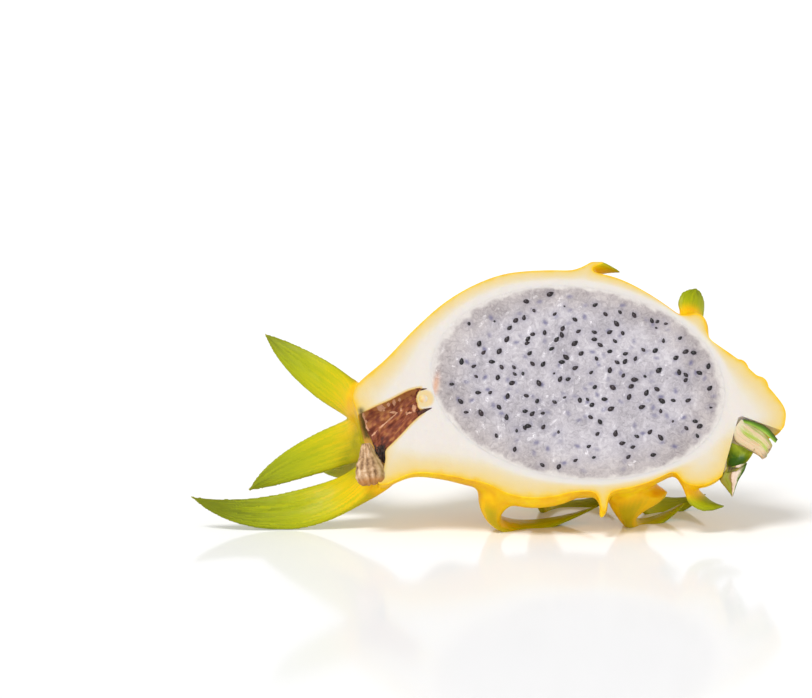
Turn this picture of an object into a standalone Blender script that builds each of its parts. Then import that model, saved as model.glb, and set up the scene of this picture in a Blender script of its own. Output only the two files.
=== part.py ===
"""Half of a yellow-skinned dragon fruit, cut lengthwise, standing on the tips of its scales.

The pieces are the rind with its fleshy scales, the pulp with its seeds, the dried flower tube
in the hollow of the crown, one dried petal at its lip, and the stub of the stalk.

Every piece is first made in the fruit's own frame: X runs along the fruit, with the crown at -X
and the stalk at +X, Y runs up the cut face, and Z points out of the cut face, so that the half
that is kept lies below Z = 0. stand_up() then leans the half back and sets it on the floor.
"""

import math
import random
from collections import namedtuple

import bmesh
import bpy
from mathutils import Matrix, Vector

MM = 0.001

# How the half stands: the cut face looks this far above the horizon
CUT_FACE_ELEVATION = math.radians(31)
# Height of the middle of the cut face over the floor, and where it stands in the floor plane
CENTRE_HEIGHT = 41.2 * MM
CENTRE_X = 25.23 * MM
CENTRE_Y = -12.76 * MM

# The fruit's centre line droops towards both ends, and its sections lean with it
CROWN_BEND_START = -15 * MM
CROWN_BEND_LENGTH = 45 * MM
CROWN_DROP = 18 * MM
CROWN_LEAN = 0.28
STALK_BEND_START = 3 * MM
STALK_BEND_LENGTH = 52 * MM
STALK_DROP = 13 * MM
STALK_LEAN = 0.42
MIDDLE_RISE = 1 * MM

# Skin: distance along the fruit and radius, from the flat end of the crown to the stalk end
SKIN_STATIONS = [
    (-59.4, 0), (-59.8, 12.2), (-59.2, 14.6), (-57.2, 15.8), (-50, 17.7), (-42, 22.3),
    (-34, 27.0), (-26, 30.5), (-18, 32.8), (-8, 33.6), (3, 33.3), (12, 32.0), (20, 28.6),
    (28, 23.6), (35, 18.8), (42, 15.2), (48, 11.5), (53, 8.0), (56.5, 4.6), (58, 0),
]
SKIN_STATION_COUNT = 34
SKIN_SIDES = 36

# Pulp: an egg-like body, turned a little in the cut face
PULP_HALF_LENGTH = 40.4 * MM
PULP_HALF_WIDTH = 28.8 * MM
PULP_DEPTH = 27.5 * MM
PULP_TURN = math.radians(-8)
PULP_CENTRE = Vector((0, 0.4 * MM, 0))
PULP_SEGMENTS = 28
PULP_RINGS = 18
FIT_GAP = 0.3 * MM

# Seeds: small black drops that stand a little out of the cut pulp
SEED_COUNT = 130
SEED_LENGTH = 2.3 * MM
SEED_WIDTH = 1.6 * MM
SEED_HEIGHT = 1.5 * MM
SEED_SPACING = 3.0 * MM
SEED_MARGIN = 2.0 * MM
# They crowd round a place to the stalk's side of the middle
SEED_CROWD_X = 6 * MM
SEED_CROWD_LENGTH = 27 * MM
SEED_CROWD_WIDTH = 13 * MM
SEED_CROWDING = 0.7

# Hollow of the crown: a straight cone from its narrow inner end out through the lip
HOLLOW_INNER_END = Vector((-42.2 * MM, -4.2 * MM, 0))
HOLLOW_SLOPE = math.radians(35.4)
HOLLOW_INNER_RADIUS = 3.3 * MM
HOLLOW_WIDENING = 0.2
HOLLOW_LENGTH = 27 * MM
TUBE_WALL = 1.0 * MM
TUBE_LENGTH = 18.5 * MM
TUBE_SIDES = 24

# Dried petal: a shrivelled flap, half sunk in the lower lip of the hollow
PETAL_CENTRE = Vector((-58.5 * MM, -24.5 * MM, -1.4 * MM))
PETAL_HALF_SIZE = Vector((4.4 * MM, 6.1 * MM, 2.2 * MM))
PETAL_TURN = math.radians(8)

# Stub of the stalk, a three-ribbed wedge in a notch of the rind
NOTCH_APEX = Vector((45.6 * MM, -10.2 * MM, 0))
NOTCH_SLOPE = math.radians(-64)
NOTCH_LENGTH = 18 * MM
NOTCH_START_RADIUS = 0.6 * MM
NOTCH_END_RADIUS = 17.0 * MM
STUB_LENGTH = 8.4 * MM
STUB_SIDES = 14
# A torn rib of the stem hangs below the stub
SPIKE_SPINE = [(48.0, -17.5, -3.4), (47.0, -22.5, -3.4), (44.0, -27.5, -3.0), (41.8, -32.4, -2.0)]
SPIKE_HALF_WIDTH = 3.1
SPIKE_ROOT = 0.7

# Scales
SCALE_SIDES = 8
SCALE_RINGS = 11
ROOT_DEPTH = 3.2 * MM
ROOT_HALF_THICKNESS = 3.6 * MM
BLADE_HALF_THICKNESS = 1.25 * MM
ROOT_REACH = 0.2
CUPPING = 0.22

# foot: place on the skin, as (distance along the fruit, angle round it), 0 up the cut face and
# -90 straight back. bend, middle and tip steer the spine; across is the blade's width direction.
Scale = namedtuple("Scale", "name foot bend middle tip half_width across root taper")
LEAF_TAPER = 2.2
HOOK_TAPER = 1.5
BLUNT_TAPER = 5

# Long scales round the crown, which spread past its lip
CROWN_SCALES = [
    Scale("upper", (-57, -34), (-67, 2, -12), (-79, 11.5, -15), (-89, 20.8, -14), 5.9, (0.6, 0.7, 0.3), 0.8, LEAF_TAPER),
    Scale("side", (-57, -72), (-66, -11, -20), (-82, -14, -27), (-93.5, -21.4, -30), 6.6, (-0.15, 0.98, 0.1), 0.8, LEAF_TAPER),
    Scale("rear", (-56, -101), (-63, -15, -27), (-71, -9, -35), (-80, -6, -40), 6.5, None, 0.8, LEAF_TAPER),
    Scale("lower", (-56, -125), (-66, -31, -18), (-90, -38, -17.5), (-109, -29.6, -12), 6.4, (0.1, 0.97, 0.1), 0.9, LEAF_TAPER),
]

# Scales along the bottom and top edges of the cut, some of them cut through by the knife
EDGE_SCALES = [
    Scale("front_foot", (-22, -165), (-31.5, -38.9, -18), (-13, -36.8, -25), (6.5, -28.8, -22.5), 6.6, (0, 0.6, -0.8), 1.3, LEAF_TAPER),
    Scale("second_foot", (17.5, -152), (10, -37.2, -26), (21, -33.8, -29), (31.8, -26.4, -26.5), 6.0, (0, 0.6, -0.8), 2.3, LEAF_TAPER),
    Scale("stalk_side", (33, -168), (29.5, -30.5, -6), (34, -34.5, -8), (41.3, -33.8, -8.5), 4.8, (0.45, 0.6, -0.66), 1.4, LEAF_TAPER),
    Scale("bottom_nub", (6.4, -176), (7.2, -35, -2.5), (7.2, -37.4, -2.2), (5.8, -39.4, -2), 4.6, None, 1.5, LEAF_TAPER),
    Scale("top_hook", (1.5, -5), (3, 37.2, -3), (7.5, 37, -3), (13.4, 35.2, -3), 4.5, None, 0.9, LEAF_TAPER),
    Scale("top_cup", (30, -14), (32.8, 22, -5), (34, 27, -5), (35, 30.8, -4), 4.4, (0.9, 0.1, -0.5), 1.1, BLUNT_TAPER),
]

# Fleshy feet of scales that the knife cut through: centre, half size and turn in the cut face
FLESHY_FEET = [
    ((-12, -28, -4), (15, 7.3, 9), 0), ((35.2, -23.4, -1), (9, 6.5, 7), 37),
    ((33, 15, -2.5), (5, 7.6, 5), -10), ((46.5, 4.5, -2), (2.4, 3.4, 3), 10),
    ((51, -1, -2), (3.2, 3.6, 4), -20),
]

# Scales of the back that reach the floor and keep the half from rolling over
BACK_FEET = [
    Scale("left_prop", (-7, -118), (-14, -24.2, -46.4), (-1, -23.4, -47.6), (13, -17.6, -43), 7.4, None, 1.2, HOOK_TAPER),
    Scale("right_prop", (21, -118), (14, -24.4, -41), (28, -24.6, -42.4), (39, -19.6, -38), 7.0, None, 1.2, HOOK_TAPER),
]

# Other scales of the back, which curl towards the stalk: where each stands, how far it stands
# out, how far it runs along the fruit and its half width
BACK_CURLS = [
    (-42, -94, 8, 21, 8.0), (-33, -52, 11, 17, 8.0), (-14, -84, 13, 19, 8.5), (4, -44, 11, 17, 8.0),
    (17, -84, 13, 17, 8.0), (32, -52, 10, 14, 7.0), (39, -106, 9, 12, 6.0),
]

FLOOR_CUTTER_SIZE = 0.5
SHARP_EDGE = math.radians(40)
HALF_CUTTER_SIZE = 0.4

COLOURS = {
    "rind": ((0.93, 0.68, 0.06), 0.45),
    "pulp": ((0.80, 0.80, 0.82), 0.25),
    "flower_tube": ((0.32, 0.12, 0.06), 0.75),
    "dried_petal": ((0.62, 0.44, 0.27), 0.80),
    "stalk_stub": ((0.40, 0.52, 0.10), 0.55),
}


def clear_scene():
    for obj in list(bpy.data.objects):
        bpy.data.objects.remove(obj, do_unlink=True)


def collection(name, shown=True):
    made = bpy.data.collections.new(name)
    bpy.context.scene.collection.children.link(made)
    made.hide_render = not shown
    return made


def object_of(name, bm, where):
    """A new object that holds the mesh built in bm."""
    bmesh.ops.recalc_face_normals(bm, faces=bm.faces)
    mesh = bpy.data.meshes.new(name)
    bm.to_mesh(mesh)
    bm.free()
    obj = bpy.data.objects.new(name, mesh)
    where.objects.link(obj)
    return obj


# The fruit's bent centre line


def centre_rise(x):
    """Height of the centre line in the cut face, at a distance along the fruit."""
    crown = max(0.0, (CROWN_BEND_START - x) / CROWN_BEND_LENGTH)
    stalk = max(0.0, (x - STALK_BEND_START) / STALK_BEND_LENGTH)
    return MIDDLE_RISE - CROWN_DROP * crown**2 - STALK_DROP * stalk**1.5


def section_lean(x):
    crown = max(0.0, (CROWN_BEND_START - x) / CROWN_BEND_LENGTH)
    stalk = max(0.0, (x - STALK_BEND_START) / STALK_BEND_LENGTH)
    return CROWN_LEAN * crown - STALK_LEAN * stalk**2


def bent(x, up, out):
    """Where a point of the straight turned body lies once the body follows the centre line."""
    lean = section_lean(x)
    return Vector((x - up * math.sin(lean), centre_rise(x) + up * math.cos(lean), out))


def smooth_profile(stations, count):
    """Points evenly spread along a Catmull-Rom curve through the stations, in metres."""
    points = [Vector((x * MM, r * MM)) for x, r in stations]
    ends = [2 * points[0] - points[1], *points, 2 * points[-1] - points[-2]]
    spans = len(points) - 1
    fine = []
    for i in range(spans * 12 + 1):
        span = min(i // 12, spans - 1)
        t = i / 12 - span
        a, b, c, d = ends[span : span + 4]
        fine.append(
            0.5 * (2 * b + (c - a) * t + (2 * a - 5 * b + 4 * c - d) * t**2 + (3 * b - a - 3 * c + d) * t**3)
        )
    lengths = [0.0]
    for p, q in zip(fine, fine[1:]):
        lengths.append(lengths[-1] + (q - p).length)
    made = []
    for k in range(count):
        want = lengths[-1] * k / (count - 1)
        i = next(n for n in range(len(fine) - 1) if lengths[n + 1] >= want - 1e-12)
        share = (want - lengths[i]) / (lengths[i + 1] - lengths[i])
        made.append(fine[i].lerp(fine[i + 1], share))
    made[0].y = made[-1].y = 0.0
    return made


SKIN_PROFILE = smooth_profile(SKIN_STATIONS, 400)


def skin_radius(x):
    """Radius of the skin at a distance along the fruit."""
    for p, q in zip(SKIN_PROFILE, SKIN_PROFILE[1:]):
        if p.x <= x < q.x:
            return p.y + (q.y - p.y) * (x - p.x) / (q.x - p.x)
    return 0.0


def skin_place(x, degrees):
    """(point on the skin, direction straight out of it, direction round the fruit)."""
    angle = math.radians(degrees)
    lean = section_lean(x)
    up = Vector((-math.sin(lean), math.cos(lean), 0))
    back = Vector((0, 0, 1))
    outward = up * math.cos(angle) + back * math.sin(angle)
    around = back * math.cos(angle) - up * math.sin(angle)
    radius = skin_radius(x)
    return bent(x, radius * math.cos(angle), radius * math.sin(angle)), outward, around


# The rind


def turned_body(name, profile, sides, where):
    """A profile turned about X by a Screw modifier, then applied, as a mesh object."""
    mesh = bpy.data.meshes.new(name)
    points = [(p.x, p.y, 0) for p in profile]
    mesh.from_pydata(points, [(i, i + 1) for i in range(len(points) - 1)], [])
    outline = bpy.data.objects.new(name + "_outline", mesh)
    where.objects.link(outline)
    screw = outline.modifiers.new("turn", "SCREW")
    screw.axis = "X"
    screw.steps = sides
    screw.render_steps = sides
    screw.use_merge_vertices = True
    screw.merge_threshold = 0.00001
    screw.use_normal_calculate = True
    turned = applied(outline, name, where)
    bm = bmesh.new()
    bm.from_mesh(turned.data)
    bmesh.ops.recalc_face_normals(bm, faces=bm.faces)
    bm.to_mesh(turned.data)
    bm.free()
    return turned


def applied(obj, name, where):
    """A plain mesh object in place of obj, with its modifiers applied."""
    graph = bpy.context.evaluated_depsgraph_get()
    mesh = bpy.data.meshes.new_from_object(obj.evaluated_get(graph))
    placed = obj.matrix_world.copy()
    bpy.data.objects.remove(obj, do_unlink=True)
    made = bpy.data.objects.new(name, mesh)
    made.matrix_world = placed
    where.objects.link(made)
    return made


def follow_centre_line(obj):
    for vertex in obj.data.vertices:
        x, up, out = vertex.co
        vertex.co = bent(x, up, out)


def bezier(points, t):
    a, b, c, d = points
    s = 1 - t
    return a * s**3 + b * 3 * s**2 * t + c * 3 * s * t**2 + d * t**3


def bezier_direction(points, t):
    a, b, c, d = points
    s = 1 - t
    return ((b - a) * s**2 + (c - b) * 2 * s * t + (d - c) * t**2).normalized()


def blade_width(t, taper):
    """Half width of a scale along its length, as a share of its widest: broad, then pointed."""
    flare = 1 + 0.3 * math.exp(-((t / 0.16) ** 2))
    return (1 - t**taper) ** 0.9 * (0.85 + 0.5 * t) * flare


def blade_thickness(t, root):
    """Half thickness of a scale along its length: a fleshy root that thins to the tip."""
    swelling = ROOT_HALF_THICKNESS * root * math.exp(-((t / ROOT_REACH) ** 2))
    return swelling + BLADE_HALF_THICKNESS * (1 - 0.45 * t) * (1 - t**6)


def make_scale(spec, where):
    foot, outward, around = skin_place(spec.foot[0] * MM, spec.foot[1])
    spine = [foot - outward * ROOT_DEPTH, *(Vector(p) * MM for p in (spec.bend, spec.middle, spec.tip))]
    blade_across = Vector(spec.across).normalized() if spec.across else around
    if blade_across.dot(around) < 0:
        blade_across = -blade_across
    return blade("scale_" + spec.name, spine, around, blade_across, spec.half_width * MM, spec.root, spec.taper, where)


def blade(name, spine, foot_across, blade_across, half_width, root, taper, where):
    """One fleshy scale: a sphere drawn out along a bent spine, wide across and thin through."""
    bm = bmesh.new()
    bmesh.ops.create_uvsphere(bm, u_segments=SCALE_SIDES, v_segments=SCALE_RINGS, radius=1)
    for vertex in bm.verts:
        x, y, z = vertex.co
        t = 1 - math.acos(max(-1.0, min(1.0, z))) / math.pi
        round_it = math.atan2(y, x)
        at_end = abs(z) > 0.9999
        direction = bezier_direction(spine, t)
        across = foot_across.lerp(blade_across, min(1.0, t * 2))
        across = (across - direction * across.dot(direction)).normalized()
        through = direction.cross(across)
        wide = 0 if at_end else half_width * blade_width(t, taper) * math.cos(round_it)
        thick = 0 if at_end else blade_thickness(t, root) * math.sin(round_it)
        cup = CUPPING * t * wide**2 / half_width
        vertex.co = bezier(spine, t) + across * wide + through * (thick - cup)
    return object_of(name, bm, where)


def fleshy_foot(number, centre, half_size, degrees, where):
    bm = bmesh.new()
    bmesh.ops.create_uvsphere(bm, u_segments=14, v_segments=9, radius=MM)
    bmesh.ops.scale(bm, verts=bm.verts, vec=half_size)
    turn = Matrix.Rotation(math.radians(degrees), 4, "Z")
    bmesh.ops.transform(bm, matrix=Matrix.Translation(Vector(centre) * MM) @ turn, verts=bm.verts)
    return object_of(f"fleshy_foot_{number}", bm, where)


def curled_scale(number, x, degrees, rise, run, half_width):
    """The scale of a back row: it stands out of the skin, then curls over towards the stalk."""
    foot, outward, _ = skin_place(x * MM, degrees)
    along = Vector((1, 0, 0))
    bend = foot + outward * rise * MM - along * 0.15 * run * MM
    middle = foot + outward * rise * 1.15 * MM + along * 0.4 * run * MM
    tip = foot + outward * rise * MM + along * run * MM
    points = [tuple(p / MM) for p in (bend, middle, tip)]
    return Scale(f"back_{number}", (x, degrees), *points, half_width, None, 1.1, HOOK_TAPER)


def all_scales():
    curls = [curled_scale(n, *row) for n, row in enumerate(BACK_CURLS)]
    return [*CROWN_SCALES, *EDGE_SCALES, *BACK_FEET, *curls]


def add_boolean(obj, operation, other, solver="EXACT"):
    modifier = obj.modifiers.new(operation.lower(), "BOOLEAN")
    modifier.operation = operation
    modifier.solver = solver
    if isinstance(other, bpy.types.Collection):
        modifier.operand_type = "COLLECTION"
        modifier.collection = other
    else:
        modifier.object = other
    return modifier


def box_cutter(name, size, centre, where):
    bm = bmesh.new()
    bmesh.ops.create_cube(bm, size=size)
    bmesh.ops.translate(bm, verts=bm.verts, vec=centre)
    cutter = object_of(name, bm, where)
    cutter.hide_render = True
    cutter.display_type = "WIRE"
    return cutter


def cone_along(name, start, slope, length, start_radius, end_radius, sides, where):
    """A cone frustum in the cut face: its axis starts at start and runs at the slope."""
    bm = bmesh.new()
    bmesh.ops.create_cone(
        bm, cap_ends=True, segments=sides, radius1=start_radius, radius2=end_radius, depth=length
    )
    bmesh.ops.translate(bm, verts=bm.verts, vec=(0, 0, length / 2))
    turn = Matrix.Rotation(slope, 4, "Z") @ Matrix.Rotation(math.pi / 2, 4, "Y")
    bmesh.ops.transform(bm, matrix=Matrix.Translation(start) @ turn, verts=bm.verts)
    return object_of(name, bm, where)


def pulp_body(name, grow, where):
    """The pulp's full egg shape, grown by a little on all sides."""
    bm = bmesh.new()
    bmesh.ops.create_uvsphere(bm, u_segments=PULP_SEGMENTS, v_segments=PULP_RINGS, radius=1)
    sizes = Vector((PULP_HALF_WIDTH + grow, PULP_DEPTH + grow, PULP_HALF_LENGTH + grow))
    bmesh.ops.scale(bm, verts=bm.verts, vec=sizes)
    lie_along = Matrix.Rotation(PULP_TURN, 4, "Z") @ Matrix(((0, 0, 1, 0), (1, 0, 0, 0), (0, 1, 0, 0), (0, 0, 0, 1)))
    bmesh.ops.transform(bm, matrix=Matrix.Translation(PULP_CENTRE) @ lie_along, verts=bm.verts)
    return object_of(name, bm, where)


def make_rind(parts, cutters, keep_half):
    skin = turned_body("skin", smooth_profile(SKIN_STATIONS, SKIN_STATION_COUNT), SKIN_SIDES, cutters)
    follow_centre_line(skin)
    scales = collection("scales", shown=False)
    for spec in all_scales():
        make_scale(spec, scales)
    for number, row in enumerate(FLESHY_FEET):
        fleshy_foot(number, *row, scales)
    add_boolean(skin, "UNION", scales)
    rind = applied(skin, "rind", parts)
    for obj in list(scales.objects):
        bpy.data.objects.remove(obj, do_unlink=True)
    bpy.data.collections.remove(scales)

    room_for_pulp = pulp_body("room_for_pulp", FIT_GAP, cutters)
    hollow = cone_along(
        "crown_hollow", HOLLOW_INNER_END, HOLLOW_SLOPE + math.pi, HOLLOW_LENGTH,
        HOLLOW_INNER_RADIUS, HOLLOW_INNER_RADIUS + HOLLOW_LENGTH * HOLLOW_WIDENING, TUBE_SIDES, cutters,
    )
    notch = cone_along(
        "stalk_notch", NOTCH_APEX, NOTCH_SLOPE, NOTCH_LENGTH,
        NOTCH_START_RADIUS, NOTCH_END_RADIUS, STUB_SIDES, cutters,
    )
    petal_seat = petal_body("petal_seat", FIT_GAP, cutters)
    for cutter in (keep_half, room_for_pulp, hollow, notch, petal_seat):
        add_boolean(rind, "DIFFERENCE", cutter)
    return rind


# The pulp and its seeds


def seed_places():
    """Seeded random places in the cut pulp, no two closer than SEED_SPACING."""
    draw = random.Random(11)
    places = []
    long_reach = PULP_HALF_LENGTH - SEED_MARGIN
    short_reach = PULP_HALF_WIDTH - SEED_MARGIN
    spacing = SEED_SPACING
    tries = 0
    while len(places) < SEED_COUNT:
        tries += 1
        if tries % 4000 == 0:
            spacing *= 0.97
        x = draw.uniform(-long_reach, long_reach)
        y = draw.uniform(-short_reach, short_reach)
        if (x / long_reach) ** 2 + (y / short_reach) ** 2 > 1:
            continue
        from_crowd = ((x - SEED_CROWD_X) / SEED_CROWD_LENGTH) ** 2 + (y / SEED_CROWD_WIDTH) ** 2
        if draw.random() > 1 - SEED_CROWDING * (1 - math.exp(-from_crowd)):
            continue
        if all((x - a) ** 2 + (y - b) ** 2 > spacing**2 for a, b, _ in places):
            places.append((x, y, draw.uniform(0, math.pi)))
    return places


def make_pulp(parts, cutters, keep_half):
    pulp = pulp_body("pulp_whole", 0, cutters)
    add_boolean(pulp, "DIFFERENCE", keep_half)
    pulp = applied(pulp, "pulp", parts)
    seeds = collection("seeds", shown=False)
    for number, (x, y, turn) in enumerate(seed_places()):
        bm = bmesh.new()
        bmesh.ops.create_icosphere(bm, subdivisions=1, radius=0.5)
        bmesh.ops.scale(bm, verts=bm.verts, vec=(SEED_LENGTH, SEED_WIDTH, SEED_HEIGHT))
        bmesh.ops.rotate(bm, verts=bm.verts, matrix=Matrix.Rotation(turn, 3, "Z"))
        bmesh.ops.translate(bm, verts=bm.verts, vec=(x, y, 0))
        turn_in_face = Matrix.Translation(PULP_CENTRE) @ Matrix.Rotation(PULP_TURN, 4, "Z")
        bmesh.ops.transform(bm, matrix=turn_in_face, verts=bm.verts)
        object_of(f"seed_{number}", bm, seeds)
    add_boolean(pulp, "UNION", seeds)
    pulp = applied(pulp, "pulp", parts)
    for obj in list(seeds.objects):
        bpy.data.objects.remove(obj, do_unlink=True)
    bpy.data.collections.remove(seeds)
    return pulp


# The dried remains and the stalk


def make_flower_tube(parts, cutters, keep_half):
    """Thin brown lining of the hollow, open at the lip."""
    outward = HOLLOW_SLOPE + math.pi
    step = Vector((math.cos(outward), math.sin(outward), 0))
    steepness = math.sqrt(1 + HOLLOW_WIDENING**2)
    start_radius = HOLLOW_INNER_RADIUS - FIT_GAP * steepness
    start = HOLLOW_INNER_END + step * FIT_GAP
    tube = cone_along(
        "flower_tube", start, outward, TUBE_LENGTH,
        start_radius, start_radius + TUBE_LENGTH * HOLLOW_WIDENING, TUBE_SIDES, parts,
    )
    inner_radius = start_radius - TUBE_WALL * (steepness - HOLLOW_WIDENING)
    inside = cone_along(
        "inside_of_tube", start + step * TUBE_WALL, outward, TUBE_LENGTH + 2 * MM,
        inner_radius, inner_radius + (TUBE_LENGTH + 2 * MM) * HOLLOW_WIDENING, TUBE_SIDES, cutters,
    )
    add_boolean(tube, "DIFFERENCE", keep_half)
    add_boolean(tube, "DIFFERENCE", inside)
    return tube


def petal_body(name, grow, where):
    """The petal, with shallow folds along it, grown by a little on all sides."""
    bm = bmesh.new()
    bmesh.ops.create_uvsphere(bm, u_segments=14, v_segments=9, radius=1)
    size = PETAL_HALF_SIZE + Vector((grow, grow, grow)) * 1.2
    for vertex in bm.verts:
        x, y, z = vertex.co
        folds = 1 + 0.05 * math.cos(5 * math.atan2(z, x))
        narrow = 0.86 - 0.14 * y
        vertex.co = Vector((x * folds * narrow * size.x, y * size.y, z * folds * narrow * size.z))
    bmesh.ops.rotate(bm, verts=bm.verts, matrix=Matrix.Rotation(PETAL_TURN, 3, "Z"))
    bmesh.ops.translate(bm, verts=bm.verts, vec=PETAL_CENTRE)
    return object_of(name, bm, where)


def make_stalk_stub(parts, cutters, keep_half):
    """A wedge of cactus stem that fills the notch, with one torn rib hanging from it."""
    slope = (NOTCH_END_RADIUS - NOTCH_START_RADIUS) / NOTCH_LENGTH
    inset = FIT_GAP * math.sqrt(1 + 1 / slope**2)
    step = Vector((math.cos(NOTCH_SLOPE), math.sin(NOTCH_SLOPE), 0))
    stub = cone_along(
        "stub_wedge", NOTCH_APEX + step * inset, NOTCH_SLOPE, STUB_LENGTH,
        NOTCH_START_RADIUS, NOTCH_START_RADIUS + STUB_LENGTH * slope, STUB_SIDES, cutters,
    )
    spine = [Vector(p) * MM for p in SPIKE_SPINE]
    across = Vector((1, 0, 0))
    spike = blade("spike", spine, across, across, SPIKE_HALF_WIDTH * MM, SPIKE_ROOT, LEAF_TAPER, cutters)
    add_boolean(stub, "UNION", spike)
    add_boolean(stub, "DIFFERENCE", keep_half)
    return applied(stub, "stalk_stub", parts)


def shade(obj):
    obj.data.shade_smooth()
    obj.data.set_sharp_from_angle(angle=SHARP_EDGE)


def paint(obj):
    colour, roughness = COLOURS[obj.name]
    material = bpy.data.materials.new(obj.name)
    material.use_nodes = True
    shader = material.node_tree.nodes["Principled BSDF"]
    shader.inputs["Base Color"].default_value = (*colour, 1)
    shader.inputs["Roughness"].default_value = roughness
    shader.inputs["Metallic"].default_value = 0.0
    obj.data.materials.clear()
    obj.data.materials.append(material)


def standing():
    """The matrix that leans the half back and puts it over the floor."""
    lean_back = Matrix.Rotation(math.pi / 2 - CUT_FACE_ELEVATION, 4, "X")
    return Matrix.Translation((CENTRE_X, CENTRE_Y, CENTRE_HEIGHT)) @ lean_back


def stand_up(objects):
    for obj in objects:
        obj.matrix_world = standing() @ obj.matrix_world


def main():
    clear_scene()
    parts = collection("dragon_fruit_half")
    cutters = collection("cutters", shown=False)
    away = Vector((0, 0, HALF_CUTTER_SIZE / 2))
    keep_half = box_cutter("away_half", HALF_CUTTER_SIZE, away, cutters)
    rind = make_rind(parts, cutters, keep_half)
    pieces = [
        rind,
        make_pulp(parts, cutters, keep_half),
        make_flower_tube(parts, cutters, keep_half),
        petal_body("dried_petal", 0, parts),
        make_stalk_stub(parts, cutters, keep_half),
    ]
    for obj in pieces:
        shade(obj)
        paint(obj)
    stand_up([*pieces, *cutters.objects])
    below_floor = Vector((0, 0, -FLOOR_CUTTER_SIZE / 2))
    floor = box_cutter("floor", FLOOR_CUTTER_SIZE, below_floor, cutters)
    add_boolean(rind, "DIFFERENCE", floor)
    for obj in cutters.objects:
        obj.hide_render = True
        obj.display_type = "WIRE"
    bpy.context.view_layer.update()


main()
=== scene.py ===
import math
import random
from collections import namedtuple

import bmesh
import bpy
import numpy as np
from mathutils import Matrix, Vector, noise
from mathutils.bvhtree import BVHTree
from mathutils.kdtree import KDTree


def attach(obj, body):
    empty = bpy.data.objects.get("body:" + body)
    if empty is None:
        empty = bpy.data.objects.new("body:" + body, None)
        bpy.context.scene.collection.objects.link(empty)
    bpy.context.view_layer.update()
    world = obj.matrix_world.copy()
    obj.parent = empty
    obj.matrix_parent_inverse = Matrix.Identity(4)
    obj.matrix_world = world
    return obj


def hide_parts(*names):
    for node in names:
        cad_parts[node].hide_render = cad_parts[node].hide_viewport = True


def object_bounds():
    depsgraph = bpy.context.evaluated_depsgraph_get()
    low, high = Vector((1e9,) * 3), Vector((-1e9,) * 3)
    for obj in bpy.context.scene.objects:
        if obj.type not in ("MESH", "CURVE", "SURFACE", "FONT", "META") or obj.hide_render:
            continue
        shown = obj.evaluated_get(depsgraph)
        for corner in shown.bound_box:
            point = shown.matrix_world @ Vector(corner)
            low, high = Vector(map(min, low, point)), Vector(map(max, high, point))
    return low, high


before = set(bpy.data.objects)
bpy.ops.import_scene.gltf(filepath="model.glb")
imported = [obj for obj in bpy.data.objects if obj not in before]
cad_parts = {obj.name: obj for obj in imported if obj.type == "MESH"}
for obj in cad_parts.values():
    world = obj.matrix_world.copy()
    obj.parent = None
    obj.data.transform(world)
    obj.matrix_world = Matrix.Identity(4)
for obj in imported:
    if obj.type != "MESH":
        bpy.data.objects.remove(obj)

cad_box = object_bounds()

# Camera: a long lens a little above the table, square to the length of the fruit.
# One pixel of the photograph is 0.282 mm at the middle of the cut face.
MM = 0.001
IMAGE_WIDTH, IMAGE_HEIGHT = 812, 698
PIXEL = 0.282 * MM
FACE_CENTRE = Vector((25.23, -12.76, 41.2)) * MM
FACE_CENTRE_PIXEL = (577, 383)
CAMERA_ELEVATION = math.radians(9)
CAMERA_LENS = 150
SENSOR_WIDTH = 36


def add_object(name, data):
    """A new object in the scene, of a mesh, a curve, a camera or a lamp."""
    made = bpy.data.objects.new(name, data)
    bpy.context.scene.collection.objects.link(made)
    return made


camera_data = bpy.data.cameras.new("camera")
camera_data.lens = CAMERA_LENS
camera_data.sensor_width = SENSOR_WIDTH
camera = add_object("camera", camera_data)
look = Vector((0, math.cos(CAMERA_ELEVATION), -math.sin(CAMERA_ELEVATION)))
image_up = Vector((0, math.sin(CAMERA_ELEVATION), math.cos(CAMERA_ELEVATION)))
aim = FACE_CENTRE.copy()
aim.x += (IMAGE_WIDTH / 2 - FACE_CENTRE_PIXEL[0]) * PIXEL
aim += image_up * (FACE_CENTRE_PIXEL[1] - IMAGE_HEIGHT / 2) * PIXEL
camera.location = aim - look * (IMAGE_WIDTH * PIXEL * CAMERA_LENS / SENSOR_WIDTH)
camera.rotation_euler = (math.pi / 2 - CAMERA_ELEVATION, 0, 0)
bpy.context.scene.camera = camera

# Peel: one turned body that droops towards both ends, with fleshy scales grown out of it. It is
# made whole, blended where the scales join it, then cut lengthwise and hollowed for what it holds.
# The fruit's own frame has X along it, Y up the cut face and Z out of that face.
CUT_FACE_ELEVATION = math.radians(31)
CROWN_BEND_START = -15 * MM
CROWN_BEND_LENGTH = 45 * MM
CROWN_DROP = 18 * MM
CROWN_LEAN = 0.28
STALK_BEND_START = 3 * MM
STALK_BEND_LENGTH = 52 * MM
STALK_DROP = 13 * MM
STALK_LEAN = 0.42
MIDDLE_RISE = 1 * MM
SKIN_STATIONS = [
    (-59.4, 0), (-59.8, 12.2), (-59.2, 14.6), (-57.2, 15.8), (-50, 17.7), (-42, 22.3),
    (-34, 27.0), (-26, 30.5), (-18, 32.8), (-8, 33.6), (3, 33.3), (12, 32.0), (20, 28.6),
    (28, 23.6), (35, 18.8), (42, 15.2), (48, 11.5), (53, 8.0), (56.5, 4.6), (58, 0),
]
SKIN_STATION_COUNT = 150
SKIN_SIDES = 180
FINE_STEPS = 12
FIT_GAP = 0.3 * MM

stand = Matrix.Translation(FACE_CENTRE) @ Matrix.Rotation(math.pi / 2 - CUT_FACE_ELEVATION, 4, "X")


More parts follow.
